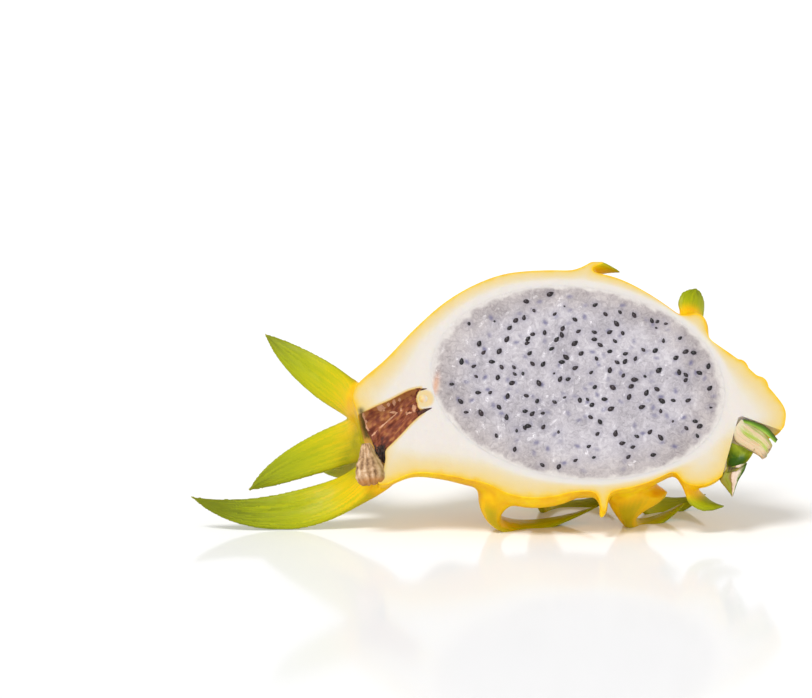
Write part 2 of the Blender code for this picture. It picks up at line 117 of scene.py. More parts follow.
def into_bends(x):
    """How far x lies in the crown's bend and in the stalk's, as shares of their lengths."""
    crown = max(0.0, (CROWN_BEND_START - x) / CROWN_BEND_LENGTH)
    stalk = max(0.0, (x - STALK_BEND_START) / STALK_BEND_LENGTH)
    return crown, stalk


def section_lean(x):
    crown, stalk = into_bends(x)
    return CROWN_LEAN * crown - STALK_LEAN * stalk**2


def bent(x, up, out):
    """A point of the drooping fruit, from its place in a straight one."""
    crown, stalk = into_bends(x)
    rise = MIDDLE_RISE - CROWN_DROP * crown**2 - STALK_DROP * stalk**1.5
    lean = section_lean(x)
    return Vector((x - up * math.sin(lean), rise + up * math.cos(lean), out))


def curve_point(points, at):
    """A point of the Catmull-Rom curve through the points, at a place counted in points."""
    ends = [2 * points[0] - points[1], *points, 2 * points[-1] - points[-2]]
    span = min(int(at), len(points) - 2)
    t = at - span
    a, b, c, d = ends[span : span + 4]
    return 0.5 * (2 * b + (c - a) * t + (2 * a - 5 * b + 4 * c - d) * t**2 + (3 * b - a - 3 * c + d) * t**3)


def smooth_profile(stations, count):
    """Points evenly spread along the smooth curve through the stations, in metres."""
    points = [Vector((x * MM, r * MM)) for x, r in stations]
    fine = [curve_point(points, i / FINE_STEPS) for i in range((len(points) - 1) * FINE_STEPS + 1)]
    lengths = [0.0]
    for p, q in zip(fine, fine[1:]):
        lengths.append(lengths[-1] + (q - p).length)
    made = []
    for k in range(count):
        want = lengths[-1] * k / (count - 1)
        i = next(n for n in range(len(fine) - 1) if lengths[n + 1] >= want - 1e-12)
        share = (want - lengths[i]) / (lengths[i + 1] - lengths[i])
        made.append(fine[i].lerp(fine[i + 1], share))
    made[0].y = made[-1].y = 0.0
    return made


skin_profile = smooth_profile(SKIN_STATIONS, 400)


def skin_place(x, degrees):
    """(point on the skin, direction straight out of it, direction round the fruit)."""
    angle = math.radians(degrees)
    lean = section_lean(x)
    up = Vector((-math.sin(lean), math.cos(lean), 0))
    back = Vector((0, 0, 1))
    outward = up * math.cos(angle) + back * math.sin(angle)
    around = back * math.cos(angle) - up * math.sin(angle)
    p, q = next((p, q) for p, q in zip(skin_profile, skin_profile[1:]) if p.x <= x < q.x)
    radius = p.y + (q.y - p.y) * (x - p.x) / (q.x - p.x)
    return bent(x, radius * math.cos(angle), radius * math.sin(angle)), outward, around


def closed_tube(rows, columns, start=0):
    """Quads of a grid whose columns close on themselves, with a cap at each end."""
    faces = []
    for r in range(rows - 1):
        for c in range(columns):
            n = (c + 1) % columns
            at = start + r * columns
            faces.append((at + c, at + n, at + columns + n, at + columns + c))
    last = start + (rows - 1) * columns
    return faces + [tuple(range(start, start + columns))[::-1], tuple(range(last, last + columns))]


def turned_outwards(bm, mesh):
    """The bmesh as an object with this mesh and with all its faces turned outwards."""
    bmesh.ops.recalc_face_normals(bm, faces=bm.faces)
    bm.to_mesh(mesh)
    bm.free()
    return add_object(mesh.name, mesh)


def mesh_object(name, points, faces, placed=None):
    mesh = bpy.data.meshes.new(name)
    mesh.from_pydata([tuple(p) for p in points], [], faces)
    bm = bmesh.new()
    bm.from_mesh(mesh)
    made = turned_outwards(bm, mesh)
    if placed:
        mesh.transform(placed)
    return made


# foot: place on the skin, as (distance along the fruit, angle round it), 0 up the cut face and
# -90 straight back. bend, middle and tip steer the spine; across is the blade's width direction.
LEAF_TAPER = 2.2
HOOK_TAPER = 1.5
BLUNT_TAPER = 5
Scale = namedtuple(
    "Scale", "name foot bend middle tip half_width root across taper", defaults=(None, LEAF_TAPER)
)
SCALES = [
    Scale("upper", (-57, -34), (-67, 2, -12), (-79, 11.5, -15), (-89, 20.8, -14), 5.9, 0.8, (0.6, 0.7, 0.3)),
    Scale("side", (-57, -72), (-66, -11, -20), (-82, -14, -27), (-93.5, -21.4, -30), 6.6, 0.8,
          (-0.15, 0.98, 0.1)),
    Scale("rear", (-56, -101), (-63, -15, -27), (-71, -9, -35), (-80, -6, -40), 6.5, 0.8),
    Scale("lower", (-56, -125), (-66, -31, -18), (-90, -38, -17.5), (-109, -29.6, -12), 6.4, 0.9,
          (0.1, 0.97, 0.1)),
    Scale("front_foot", (-22, -165), (-31.5, -38.9, -18), (-13, -36.8, -25), (6.5, -28.8, -22.5), 6.6, 1.3,
          (0, 0.6, -0.8)),
    Scale("second_foot", (17.5, -152), (10, -37.2, -26), (21, -33.8, -29), (31.8, -26.4, -26.5), 6.0, 2.3,
          (0, 0.6, -0.8)),
    Scale("stalk_side", (33, -168), (29.5, -30.5, -6), (34, -34.5, -8), (41.3, -33.8, -8.5), 4.8, 1.4,
          (0.45, 0.6, -0.66)),
    Scale("bottom_nub", (6.4, -176), (7.2, -35, -2.5), (7.2, -37.4, -2.2), (5.8, -39.4, -2), 4.6, 1.5),
    Scale("top_hook", (1.5, -5), (3, 37.2, -3), (7.5, 37, -3), (13.4, 35.2, -3), 4.5, 0.9),
    Scale("top_cup", (30, -14), (32.8, 22, -5), (34, 27, -5), (35, 30.8, -4), 4.4, 1.1, (0.9, 0.1, -0.5),
          BLUNT_TAPER),
    Scale("left_prop", (-7, -118), (-14, -24.2, -46.4), (-1, -23.4, -47.6), (13, -17.6, -43), 7.4, 1.2,
          None, HOOK_TAPER),
    Scale("right_prop", (21, -118), (14, -24.4, -41), (28, -24.6, -42.4), (39, -19.6, -38), 7.0, 1.2,
          None, HOOK_TAPER),
]
# Fleshy feet of scales that the knife cut through: centre, half size and turn in the cut face
FLESHY_FEET = [
    ((-12, -28, -4), (15, 7.3, 9), 0), ((35.2, -23.4, -1), (9, 6.5, 7), 37),
    ((33, 15, -2.5), (5, 7.6, 5), -10), ((46.5, 4.5, -2), (2.4, 3.4, 3), 10),
    ((51, -1, -2), (3.2, 3.6, 4), -20),
]
# Scales of the back: where each stands, how far out, how far along the fruit, and its half width
BACK_CURLS = [
    (-42, -94, 8, 21, 8.0), (-33, -52, 11, 17, 8.0), (-14, -84, 13, 19, 8.5), (4, -44, 11, 17, 8.0),
    (17, -84, 13, 17, 8.0), (32, -52, 10, 14, 7.0), (39, -106, 9, 12, 6.0),
]
for number, (x, degrees, rise, run, half_width) in enumerate(BACK_CURLS):
    foot, outward, _ = skin_place(x * MM, degrees)
    along = Vector((1, 0, 0))
    bend = foot / MM + outward * rise - along * 0.15 * run
    middle = foot / MM + outward * rise * 1.15 + along * 0.4 * run
    tip = foot / MM + outward * rise + along * run
    SCALES.append(Scale(f"back_{number}", (x, degrees), bend, middle, tip, half_width, 1.1, None, HOOK_TAPER))
ROOT_DEPTH = 3.2 * MM
ROOT_HALF_THICKNESS = 3.6 * MM
BLADE_HALF_THICKNESS = 1.25 * MM
ROOT_REACH = 0.2
TIP_HALF_THICKNESS = 0.26 * MM
CUPPING = 0.22
BLADE_ROWS = 64
BLADE_SIDES = 40
FOOT_ROWS = 36
BLENDED_FOOT = 5
EDGE_WAVE = 0.35 * MM
MIDRIB_DEPTH = 0.3 * MM
# How far the lower scale's leaf colour is shifted to a darker green, as painted shade
LOWER_SCALE_PAINTED_SHADE = 0.16
YELLOWER_FOOT = 0.25
# A blade widens by this share at its root, within this share of its length
FLARE = 0.3
FLARE_REACH = 0.16
MIDRIB_WIDTH = 0.16


def blade(spine, foot_across, blade_across, half_width, root, taper, wave_at=0.0):
    """Points and faces of one fleshy scale, with how far along and across it each point is."""
    a, b, c, d = spine
    points = []
    runs = []
    sides = []
    for row in range(BLADE_ROWS + 1):
        t = row / BLADE_ROWS
        s = 1 - t
        centre = a * s**3 + b * 3 * s**2 * t + c * 3 * s * t**2 + d * t**3
        direction = ((b - a) * s**2 + (c - b) * 2 * s * t + (d - c) * t**2).normalized()
        across = foot_across.lerp(blade_across, min(1.0, t * 2))
        across = (across - direction * across.dot(direction)).normalized()
        through = direction.cross(across)
        flare = 1 + FLARE * math.exp(-((t / FLARE_REACH) ** 2))
        width = half_width * max(0.05, (1 - t**taper) ** 0.9) * (0.85 + 0.5 * t) * flare
        if t == 0:
            width *= 0.3
        swelling = ROOT_HALF_THICKNESS * root * math.exp(-((t / ROOT_REACH) ** 2))
        thickness = swelling + BLADE_HALF_THICKNESS * (1 - 0.45 * t) * (1 - t**6) + TIP_HALF_THICKNESS
        for side in range(BLADE_SIDES):
            turn = 2 * math.pi * side / BLADE_SIDES
            wide = width * math.cos(turn)
            thick = thickness * math.sin(turn)
            share = math.cos(turn)
            cup = CUPPING * t * wide**2 / half_width
            wave = EDGE_WAVE * share * abs(share) * math.sin(9 * t + wave_at) * t
            groove = MIDRIB_DEPTH * math.exp(-((share / MIDRIB_WIDTH) ** 2)) * min(1, 3 * t) * (1 - t)
            if math.sin(turn) < 0:
                groove = -groove
            points.append(centre + across * wide + through * (thick - cup + wave - groove))
            runs.append(t)
            sides.append(share)
    return points, closed_tube(BLADE_ROWS + 1, BLADE_SIDES), runs, sides


def pole_angle(row, rows):
    """The angle of a row of a round body, from just off one pole to just off the other."""
    return math.pi * min(max(row / rows, 0.01), 0.99)


def nearest_of(points):
    """A tree that finds the nearest of the points."""
    made = KDTree(len(points))
    for index, point in enumerate(points):
        made.insert(point, index)
    made.balance()
    return made


all_points = []
all_faces = []
scale_points = []
scale_runs = []
scale_sides = []
profile = smooth_profile(SKIN_STATIONS, SKIN_STATION_COUNT)
profile[0].y = profile[-1].y = 0.02 * MM
for place in profile:
    for side in range(SKIN_SIDES):
        turn = 2 * math.pi * side / SKIN_SIDES
        all_points.append(bent(place.x, place.y * math.cos(turn), place.y * math.sin(turn)))
all_faces += closed_tube(SKIN_STATION_COUNT, SKIN_SIDES)
skin_tree = BVHTree.FromPolygons([tuple(p) for p in all_points], all_faces)
feet_points = []
for number, spec in enumerate(SCALES):
    foot, outward, around = skin_place(spec.foot[0] * MM, spec.foot[1])
    spine = [foot - outward * ROOT_DEPTH, *(Vector(p) * MM for p in (spec.bend, spec.middle, spec.tip))]
    blade_across = Vector(spec.across).normalized() if spec.across else around
    if blade_across.dot(around) < 0:
        blade_across = -blade_across
    points, faces, runs, sides = blade(
        spine, around, blade_across, spec.half_width * MM, spec.root, spec.taper, wave_at=2.4 * number
    )
    start = len(all_points)
    all_points += points
    all_faces += [tuple(i + start for i in face) for face in faces]
    # The nub is all rind, without a leafy blade
    if spec.name == "bottom_nub":
        feet_points += points
        continue
    # The lower scale lies in the shade of the others: its leaf colour is shifted to a darker green, which is
    # painted shade
    if spec.name == "lower":
        runs = [t + LOWER_SCALE_PAINTED_SHADE * min(1, max(0, (t - 0.3) / 0.3)) for t in runs]
    # The two scales that the fruit stands on stay yellow further out
    if spec.name.endswith("_foot"):
        runs = [max(0.0, t - YELLOWER_FOOT) for t in runs]
    scale_points += points
    scale_runs += runs
    scale_sides += sides
for centre, half_size, degrees in FLESHY_FEET:
    turn = Matrix.Translation(Vector(centre) * MM) @ Matrix.Rotation(math.radians(degrees), 4, "Z")
    start = len(all_points)
    for row in range(FOOT_ROWS + 1):
        height = pole_angle(row, FOOT_ROWS)
        for column in range(2 * FOOT_ROWS):
            around = math.pi * column / FOOT_ROWS
            ring = math.sin(height)
            spot = Vector((ring * math.cos(around), ring * math.sin(around), math.cos(height)))
            all_points.append(turn @ (spot * Vector(half_size) * MM))
    all_faces += closed_tube(FOOT_ROWS + 1, 2 * FOOT_ROWS, start)
    if half_size[0] >= BLENDED_FOOT:
        feet_points += all_points[start:]
feet_tree = nearest_of(feet_points)
scale_tree = nearest_of(scale_points)

VOXEL = 0.45 * MM
BLEND_REACH = 3.4 * MM
BLEND_WEIGHT = 0.55
BLEND_ROUNDS = 40
SOFTEN_WEIGHT = 0.4
SOFTEN_ROUNDS = 2


def evaluated_mesh(obj):
    """The object's mesh with its modifiers applied; the object itself is removed."""
    graph = bpy.context.evaluated_depsgraph_get()
    mesh = bpy.data.meshes.new_from_object(obj.evaluated_get(graph))
    bpy.data.objects.remove(obj, do_unlink=True)
    return mesh


def smoothed(points, edges, weight, rounds):
    """Points moved towards the middle of their neighbours, each by its own weight."""
    count = np.bincount(edges.ravel(), minlength=len(points))[:, None]
    for _ in range(rounds):
        total = np.zeros_like(points)
        np.add.at(total, edges[:, 0], points[edges[:, 1]])
        np.add.at(total, edges[:, 1], points[edges[:, 0]])
        points = points + (total / count - points) * weight[:, None]
    return points


def positions(mesh):
    """All the points of the mesh, as an array."""
    made = np.empty(len(mesh.vertices) * 3)
    mesh.vertices.foreach_get("co", made)
    return made.reshape(-1, 3)


def surface_of(mesh):
    """A tree that finds the nearest place on the mesh."""
    return BVHTree.FromPolygons(
        [vertex.co.copy() for vertex in mesh.vertices], [tuple(polygon.vertices) for polygon in mesh.polygons]
    )


raw = mesh_object("raw_peel", all_points, all_faces)
remesh = raw.modifiers.new("one_skin", "REMESH")
remesh.mode = "VOXEL"
remesh.voxel_size = VOXEL
whole_mesh = evaluated_mesh(raw)
points = positions(whole_mesh)
edges = np.empty(len(whole_mesh.edges) * 2, dtype=np.int64)
whole_mesh.edges.foreach_get("vertices", edges)
edges = edges.reshape(-1, 2)
from_skin = np.array([skin_tree.find_nearest(Vector(p))[3] for p in points])
from_scale = np.array([scale_tree.find(Vector(p))[2] for p in points])
from_foot = np.array([feet_tree.find(Vector(p))[2] for p in points])
at_scale = np.maximum(np.minimum(from_skin, from_foot), from_scale)
at_join = np.minimum(at_scale, np.maximum(from_skin, from_foot))
near_join = 1 - np.clip(at_join / BLEND_REACH, 0, 1)
points = smoothed(points, edges, BLEND_WEIGHT * np.clip(near_join * 2, 0, 1), BLEND_ROUNDS)
points = smoothed(points, edges, np.full(len(points), SOFTEN_WEIGHT), SOFTEN_ROUNDS)
whole_mesh.vertices.foreach_set("co", points.ravel())
whole_peel = add_object("whole_peel", whole_mesh)
outside_tree = surface_of(whole_mesh)

# The knife's plane, as a box whose lower face is a fine grid, so that the cut flesh has points
KNIFE_LENGTH = 134 * MM
KNIFE_WIDTH = 94 * MM
KNIFE_STEP = 0.5 * MM
KNIFE_X = -1 * MM
KNIFE_REACH = 60 * MM
CUTTER_SIDES = 96
TABLE_BLOCK = 0.3


def knife_box():
    bm = bmesh.new()
    bmesh.ops.create_grid(
        bm, x_segments=round(KNIFE_LENGTH / KNIFE_STEP), y_segments=round(KNIFE_WIDTH / KNIFE_STEP), size=0.5
    )
    bmesh.ops.scale(bm, verts=bm.verts, vec=(KNIFE_LENGTH, KNIFE_WIDTH, 1))
    raised = bmesh.ops.extrude_face_region(bm, geom=bm.faces[:])
    top = [v for v in raised["geom"] if isinstance(v, bmesh.types.BMVert)]
    bmesh.ops.translate(bm, verts=top, vec=(0, 0, KNIFE_REACH))
    bmesh.ops.translate(bm, verts=bm.verts, vec=(KNIFE_X, 0, 0))
    return turned_outwards(bm, bpy.data.meshes.new("knife"))


# What the peel is hollowed for: the pulp, the flower tube, the stalk and the dried petal
PULP_HALF_LENGTH = 41.3 * MM
PULP_HALF_WIDTH = 28.8 * MM
PULP_DEPTH = 27.5 * MM
PULP_TURN = math.radians(-8)
PULP_CENTRE = Vector((0.2 * MM, 0.4 * MM, 0))
# The hollow's edges in the cut face, from its inner end out past the lip
UPPER_EDGE = [
    (-44.2, -1.5), (-47.2, -2.2), (-49.8, -3.5), (-52.8, -5.2), (-56.4, -6.9), (-59.8, -8.6), (-64, -10.8),
]
LOWER_EDGE = [
    (-43.4, -8.9), (-46.6, -12.0), (-49.4, -15.2), (-51.8, -17.8), (-53.9, -20.2), (-54.0, -23.0),
    (-54.6, -26.5),
]
HOLLOW_DEPTH = 0.92
HOLLOW_ROWS = 60
HOLLOW_SIDES = 96
# Inside, the hollow narrows to this share round the stump, which dents its end by this much
HOLLOW_END_SHARE = 0.45
HOLLOW_DENT = Vector((-1.3, -0.4, 0)) * MM
# Two narrow clefts at its inner end: tip, direction, length and radius
CLEFTS = [((-42.3, -1.7), 188, 3.2, 0.7), ((-40.9, -7.5), 200, 4.4, 1.1)]
NOTCH_APEX = Vector((45.6 * MM, -10.2 * MM, 0))
NOTCH_SLOPE = math.radians(-64)
NOTCH_LENGTH = 18 * MM
NOTCH_START_RADIUS = 0.6 * MM
NOTCH_END_RADIUS = 17.0 * MM
PETAL_CENTRE = Vector((-58.5 * MM, -24.5 * MM, -1.4 * MM))
PETAL_HALF_SIZE = Vector((4.4 * MM, 6.1 * MM, 2.2 * MM))
PETAL_TURN = math.radians(8)

pulp_place = Matrix.Translation(PULP_CENTRE) @ Matrix.Rotation(PULP_TURN, 4, "Z")


def egg(name, half_size, placed, sides=CUTTER_SIDES):
    bm = bmesh.new()
    bmesh.ops.create_uvsphere(bm, u_segments=sides, v_segments=sides // 2, radius=1)
    bmesh.ops.scale(bm, verts=bm.verts, vec=half_size)
    bmesh.ops.transform(bm, matrix=placed, verts=bm.verts)
    return turned_outwards(bm, bpy.data.meshes.new(name))


def cone_along(name, start, slope, length, start_radius, end_radius):
    """A cone frustum whose axis lies in the cut face, starts at start and runs at the slope."""
    bm = bmesh.new()
    bmesh.ops.create_cone(
        bm, cap_ends=True, segments=CUTTER_SIDES, radius1=start_radius, radius2=end_radius, depth=length
    )
    bmesh.ops.translate(bm, verts=bm.verts, vec=(0, 0, length / 2))
    turn = Matrix.Rotation(slope, 4, "Z") @ Matrix.Rotation(math.pi / 2, 4, "Y")
    bmesh.ops.transform(bm, matrix=Matrix.Translation(start) @ turn, verts=bm.verts)
    return turned_outwards(bm, bpy.data.meshes.new(name))


def below_table():
    """A block whose top is the table, in the fruit's own frame."""
    bm = bmesh.new()
    bmesh.ops.create_cube(bm, size=TABLE_BLOCK)
    bmesh.ops.translate(bm, verts=bm.verts, vec=(0, 0, -TABLE_BLOCK / 2))
    bmesh.ops.transform(bm, matrix=stand.inverted(), verts=bm.verts)
    return turned_outwards(bm, bpy.data.meshes.new("table"))


def along_edge(edge, share):
    """A point of an edge's smooth curve, at a share of its length."""
    return curve_point([Vector((x, y, 0)) * MM for x, y in edge], share * (len(edge) - 1))


def hollow_point(share, turn):
    """A point of the hollow's wall: share along it, turned from the upper edge by way of the back."""
    upper = along_edge(UPPER_EDGE, share)
    lower = along_edge(LOWER_EDGE, share)
    middle = (upper + lower) / 2
    half = (upper - lower).length / 2
    reach = (upper - middle).normalized() * half
    return middle + reach * math.cos(turn) - Vector((0, 0, half * HOLLOW_DEPTH)) * math.sin(turn)


def hollow_cutter():
    """The hollow, with its inner end dented by the stump that stands there."""
    points = []
    for row in range(-1, HOLLOW_ROWS + 1):
        for column in range(HOLLOW_SIDES):
            point = hollow_point(max(0, row) / HOLLOW_ROWS, 2 * math.pi * column / HOLLOW_SIDES)
            if row < 0:
                middle = (along_edge(UPPER_EDGE, 0) + along_edge(LOWER_EDGE, 0)) / 2
                point = middle + (point - middle) * HOLLOW_END_SHARE + HOLLOW_DENT
            points.append(point)
    return mesh_object("crown_hollow", points, closed_tube(HOLLOW_ROWS + 2, HOLLOW_SIDES))


def cut_away(obj, cutters):
    """The mesh of obj less the cutters, which are removed."""
    for cutter in cutters:
        boolean = obj.modifiers.new(cutter.name, "BOOLEAN")
        boolean.operation = "DIFFERENCE"
        boolean.solver = "MANIFOLD"
        boolean.object = cutter
    mesh = evaluated_mesh(obj)
    for cutter in cutters:
        bpy.data.objects.remove(cutter, do_unlink=True)
    return mesh


hollow = hollow_cutter()
hollow_tree = surface_of(hollow.data)
grown = Vector((FIT_GAP, FIT_GAP, FIT_GAP))
pulp_size = Vector((PULP_HALF_LENGTH, PULP_HALF_WIDTH, PULP_DEPTH))
petal_place = Matrix.Translation(PETAL_CENTRE) @ Matrix.Rotation(PETAL_TURN, 4, "Z")
peel_mesh = cut_away(
    whole_peel,
    [
        knife_box(),
        egg("pulp_room", pulp_size + grown, pulp_place),
        hollow,
        *(
            cone_along(f"cleft_{n}", Vector((*tip, 0)) * MM, math.radians(d), length * MM, 0.1 * MM, r * MM)
            for n, (tip, d, length, r) in enumerate(CLEFTS)
        ),
        cone_along(
            "stalk_notch", NOTCH_APEX, NOTCH_SLOPE, NOTCH_LENGTH, NOTCH_START_RADIUS, NOTCH_END_RADIUS
        ),
        egg("petal_seat", PETAL_HALF_SIZE + grown, petal_place),
        below_table(),
    ],
)
peel = add_object("peel", peel_mesh)

# What each point of the peel is: how deep under the skin, and how far out along a scale
LIP_REACH = 0.45 * MM
LIP_START = -38 * MM
STUMP_PLACE = Vector((-43.0, -4.7, 0)) * MM
STUMP_REACH = 2.9 * MM
DRIED_RIM = [Vector(place) * MM for place in ((-60.9, -8.2, 0), (-59.3, -13.3, 0), (-57.3, -18.8, 0))]
DRIED_REACH = 0.9 * MM
DRIED_DEPTH = -7 * MM
WHITE_BAND = 1.7 * MM
WHITE_DEPTH = 7
# A point of the outside is no deeper than this; a leafy one is this near a scale and off the skin
SKIN_DEPTH_MM = 0.05
LEAF_REACH = 3 * MM
LEAF_RISE_MM = 5
points = positions(peel_mesh)
depth, leaf, run, side, lip, dried = np.zeros((6, len(points)))
for index, point in enumerate(points):
    point = Vector(point)
    depth[index] = outside_tree.find_nearest(point)[3] / MM
    if point.x < LIP_START:
        from_hollow = hollow_tree.find_nearest(point)[3]
        by_stump = 0.5 * math.exp(-(((point - STUMP_PLACE).length / STUMP_REACH) ** 6))
        lip[index] = max(math.exp(-from_hollow / LIP_REACH), by_stump)
        flat_point = Vector((point.x, point.y, 0))
        for a, b in zip(DRIED_RIM, DRIED_RIM[1:]):
            share = min(max((flat_point - a).dot(b - a) / (b - a).length_squared, 0), 1)
            off = (flat_point - a.lerp(b, share)).length / DRIED_REACH
            if point.z > DRIED_DEPTH:
                dried[index] = max(dried[index], math.exp(-(off**2)))
    out_of_skin = min(skin_tree.find_nearest(point)[3], feet_tree.find(point)[2]) / MM
    nearest = scale_tree.find(point)
    if depth[index] < SKIN_DEPTH_MM and nearest[2] < LEAF_REACH:
        leaf[index] = min(1.0, out_of_skin / LEAF_RISE_MM) * max(0.0, 1 - nearest[2] / LEAF_REACH)
        run[index] = scale_runs[nearest[1]]
        side[index] = scale_sides[nearest[1]]


def give(mesh, **attributes):
    """The mesh's points get these values, which its material reads by name."""
    for name, values in attributes.items():
        attribute = mesh.attributes.new(name, "FLOAT", "POINT")
        attribute.data.foreach_set("value", np.asarray(values, dtype=np.float32))


def fade(values, start, end):
    """0 at the start to 1 at the end, both in mm."""
    return np.clip((values / MM - start) / (end - start), 0, 1)


x, y, z = points.T
# The yellow goes deeper along the bottom, at the lip of the crown and most of all at the stalk
spread = 1 + 0.8 * fade(-y, 8, 28) + 0.7 * fade(x, 36, 50) + 0.9 * fade(-x, 44, 56)
# Next to the pulp the rind is white, whatever its depth
in_pulp_frame = (points - np.array(PULP_CENTRE)) @ np.array(pulp_place.to_3x3())
pulp_reach = np.hypot(in_pulp_frame[:, 0] / PULP_HALF_LENGTH, in_pulp_frame[:, 1] / PULP_HALF_WIDTH)
off_pulp = np.hypot(in_pulp_frame[:, 0], in_pulp_frame[:, 1]) * (1 - 1 / np.maximum(pulp_reach, 0.1))
white_band = np.exp(-((off_pulp / WHITE_BAND) ** 2))
# Behind the middle of the crown the skin between the scales is a dark olive green: partly its own green
# colour, partly painted shade from the crown's scales
past_crown = fade(-x, 54, 59) * fade(x, -72, -63)
mid_crown = np.exp(-(((y + 17 * MM) / (9 * MM)) ** 2))
give(
    peel_mesh, green=past_crown * mid_crown * fade(-z, 0.8, 3.8), depth=depth,
    yellowing=depth / spread + WHITE_DEPTH * white_band, lip=lip, dried=dried, leaf=leaf, run=run, side=side,
)
peel_mesh.transform(stand)
peel_mesh.vertices.foreach_set("co", np.clip(positions(peel_mesh), *cad_box).ravel())
peel_mesh.shade_smooth()
peel_mesh.set_sharp_from_angle(angle=math.radians(50))


def linear(hex_colour):
    """An sRGB hex colour as linear RGBA."""
    parts = [int(hex_colour[i : i + 2], 16) / 255 for i in (1, 3, 5)]
    return (*(c / 12.92 if c <= 0.04045 else ((c + 0.055) / 1.055) ** 2.4 for c in parts), 1)


def set_inputs(tree, node, inputs):
    """Inputs map sockets to values, hex colours, outputs, or nodes, which give their first output."""
    for socket, value in inputs.items():
        if isinstance(value, bpy.types.Node):
            value = next(output for output in value.outputs if output.enabled)
        if isinstance(value, bpy.types.NodeSocket):
            tree.links.new(value, node.inputs[socket])
        else:
            node.inputs[socket].default_value = linear(value) if isinstance(value, str) else value


def add_node(tree, kind, inputs={}, stops=(), **settings):
    """A new node with its settings and inputs, and with a ramp's stops in the order they are made."""
    made = tree.nodes.new("ShaderNode" + kind)
    for name, value in settings.items():
        setattr(made, name, value)
    set_inputs(tree, made, inputs)
    for number, (place, colour) in enumerate(stops):
        elements = made.color_ramp.elements
        element = elements[number] if number < 2 else elements.new(place)
        element.position = place
        element.color = linear(colour)
    return made


def new_material(mesh, name):
    """The mesh's one material, as its node tree and its shader."""
    material = bpy.data.materials.new(name)
    material.use_nodes = True
    mesh.materials.clear()
    mesh.materials.append(material)
    return material.node_tree, material.node_tree.nodes["Principled BSDF"]


def overlaid(tree, under, over, mask, low, high, most=1.0, **settings):
    """One colour over another where the mask goes smoothly from low to high, by most at the most."""
    share = add_node(
        tree, "MapRange", {"Value": mask, "From Min": low, "From Max": high, "To Max": most},
        interpolation_type="SMOOTHSTEP",
    )
    return add_node(tree, "Mix", {0: share, 6: under, 7: over}, data_type="RGBA", **settings)


def ragged(tree, level, pattern, reach, low=0.3):
    """The level, moved up or down by as much as reach where the pattern is strong or weak."""
    shift = add_node(
        tree, "MapRange",
        {"Value": pattern, "From Min": low, "From Max": 1 - low, "To Min": -reach, "To Max": reach},
    )
    return add_node(tree, "Math", {0: level, 1: shift}, operation="ADD")


# Waxy pitahaya skin: strong yellow that turns leaf green along each scale, smooth and faintly
# pored. Under it the cut rind goes from yellow through cream to white within a few millimetres.
tree, shader = new_material(peel_mesh, "waxy_pitahaya_peel")
where = add_node(tree, "TexCoord").outputs["Object"]
depth_mm, leaf_share, run_share, side_share, crown_green_and_shade_share, dried_share, yellowing_mm, lip_share = (
    add_node(tree, "Attribute", attribute_name=name).outputs["Fac"]
    for name in ("depth", "leaf", "run", "side", "green", "dried", "yellowing", "lip")
)
# Blotches about 14 mm across, and finer mottling of about 3 mm
blotches = add_node(tree, "TexNoise", {"Vector": where, "Scale": 1 / 0.014, "Detail": 3.0})
mottle = add_node(tree, "TexNoise", {"Vector": where, "Scale": 1 / 0.003, "Detail": 5.0})
skin_mix = add_node(tree, "Math", {0: blotches, 1: mottle}, operation="ADD")
skin_level = add_node(tree, "Math", {0: skin_mix, 1: 0.5}, operation="MULTIPLY")
skin_colour = add_node(
    tree, "ValToRGB", {"Fac": skin_level}, [(0.34, "#EAAA00"), (0.64, "#FAD20C"), (0.5, "#F4BF02")]
)
# Veins run along each scale, about 1 mm apart, drawn coarser than the real ones
vein_place = add_node(tree, "CombineXYZ", {0: run_share, 1: side_share})
vein_scale = add_node(tree, "VectorMath", {0: vein_place, 1: (3.0, 11.0, 1.0)}, operation="MULTIPLY")
veins = add_node(tree, "TexNoise", {"Vector": vein_scale, "Scale": 1.0, "Detail": 4.0})
leaf_colour = add_node(
    tree, "ValToRGB", {"Fac": ragged(tree, run_share, veins, 0.16)},
    [
        (0.05, "#EFC002"), (1.0, "#747E06"), (0.18, "#DCC002"), (0.34, "#C4BC02"), (0.6, "#ABB002"),
        (0.85, "#929C04"),
    ],
)
rim = add_node(tree, "Math", {0: side_share}, operation="ABSOLUTE")
leaf_rimmed = overlaid(tree, leaf_colour, "#7F8E06", rim, 0.82, 1.0, 0.5)
outside = overlaid(tree, skin_colour, leaf_rimmed, leaf_share, 0.15, 0.8)
crown_green_and_shade_ragged = add_node(tree, "Math", {0: veins, 1: 0.8, 2: crown_green_and_shade_share}, operation="MULTIPLY_ADD")
# Dark olive over the skin behind the crown: its green colour and painted shade
crown_green_and_shade_colour = add_node(tree, "ValToRGB", {"Fac": skin_level}, [(0.42, "#8F9404"), (0.58, "#BCAE04")])
outside_with_crown_green_and_shade = overlaid(tree, outside, crown_green_and_shade_colour, crown_green_and_shade_ragged, 0.5, 1.25, 0.8)
depth_ragged = add_node(tree, "Math", {0: mottle, 1: 1.0, 2: yellowing_mm}, operation="MULTIPLY_ADD")
depth_share = add_node(tree, "MapRange", {"Value": depth_ragged, "From Min": 0.5, "From Max": 7.5})
flesh_colour = add_node(
    tree, "ValToRGB", {"Fac": depth_share},
    [
        (0.0, "#E1B41C"), (1.0, "#DCD5CE"), (0.05, "#E2C150"), (0.13, "#DFC682"), (0.31, "#DDCA9C"),
        (0.49, "#DCD0B6"), (0.66, "#DCD4C8"),
    ],
)
flesh_creamed = overlaid(tree, flesh_colour, "#DEC07A", lip_share, 0.1, 0.45, 0.8)
flesh_lipped = overlaid(tree, flesh_creamed, "#CE9A38", lip_share, 0.55, 0.95, 0.85)
peel_colour = overlaid(tree, outside_with_crown_green_and_shade, flesh_lipped, depth_mm, 0.03, 0.4)
peel_dried = add_node(tree, "Mix", {0: dried_share, 6: peel_colour, 7: "#6B5A2C"}, data_type="RGBA")
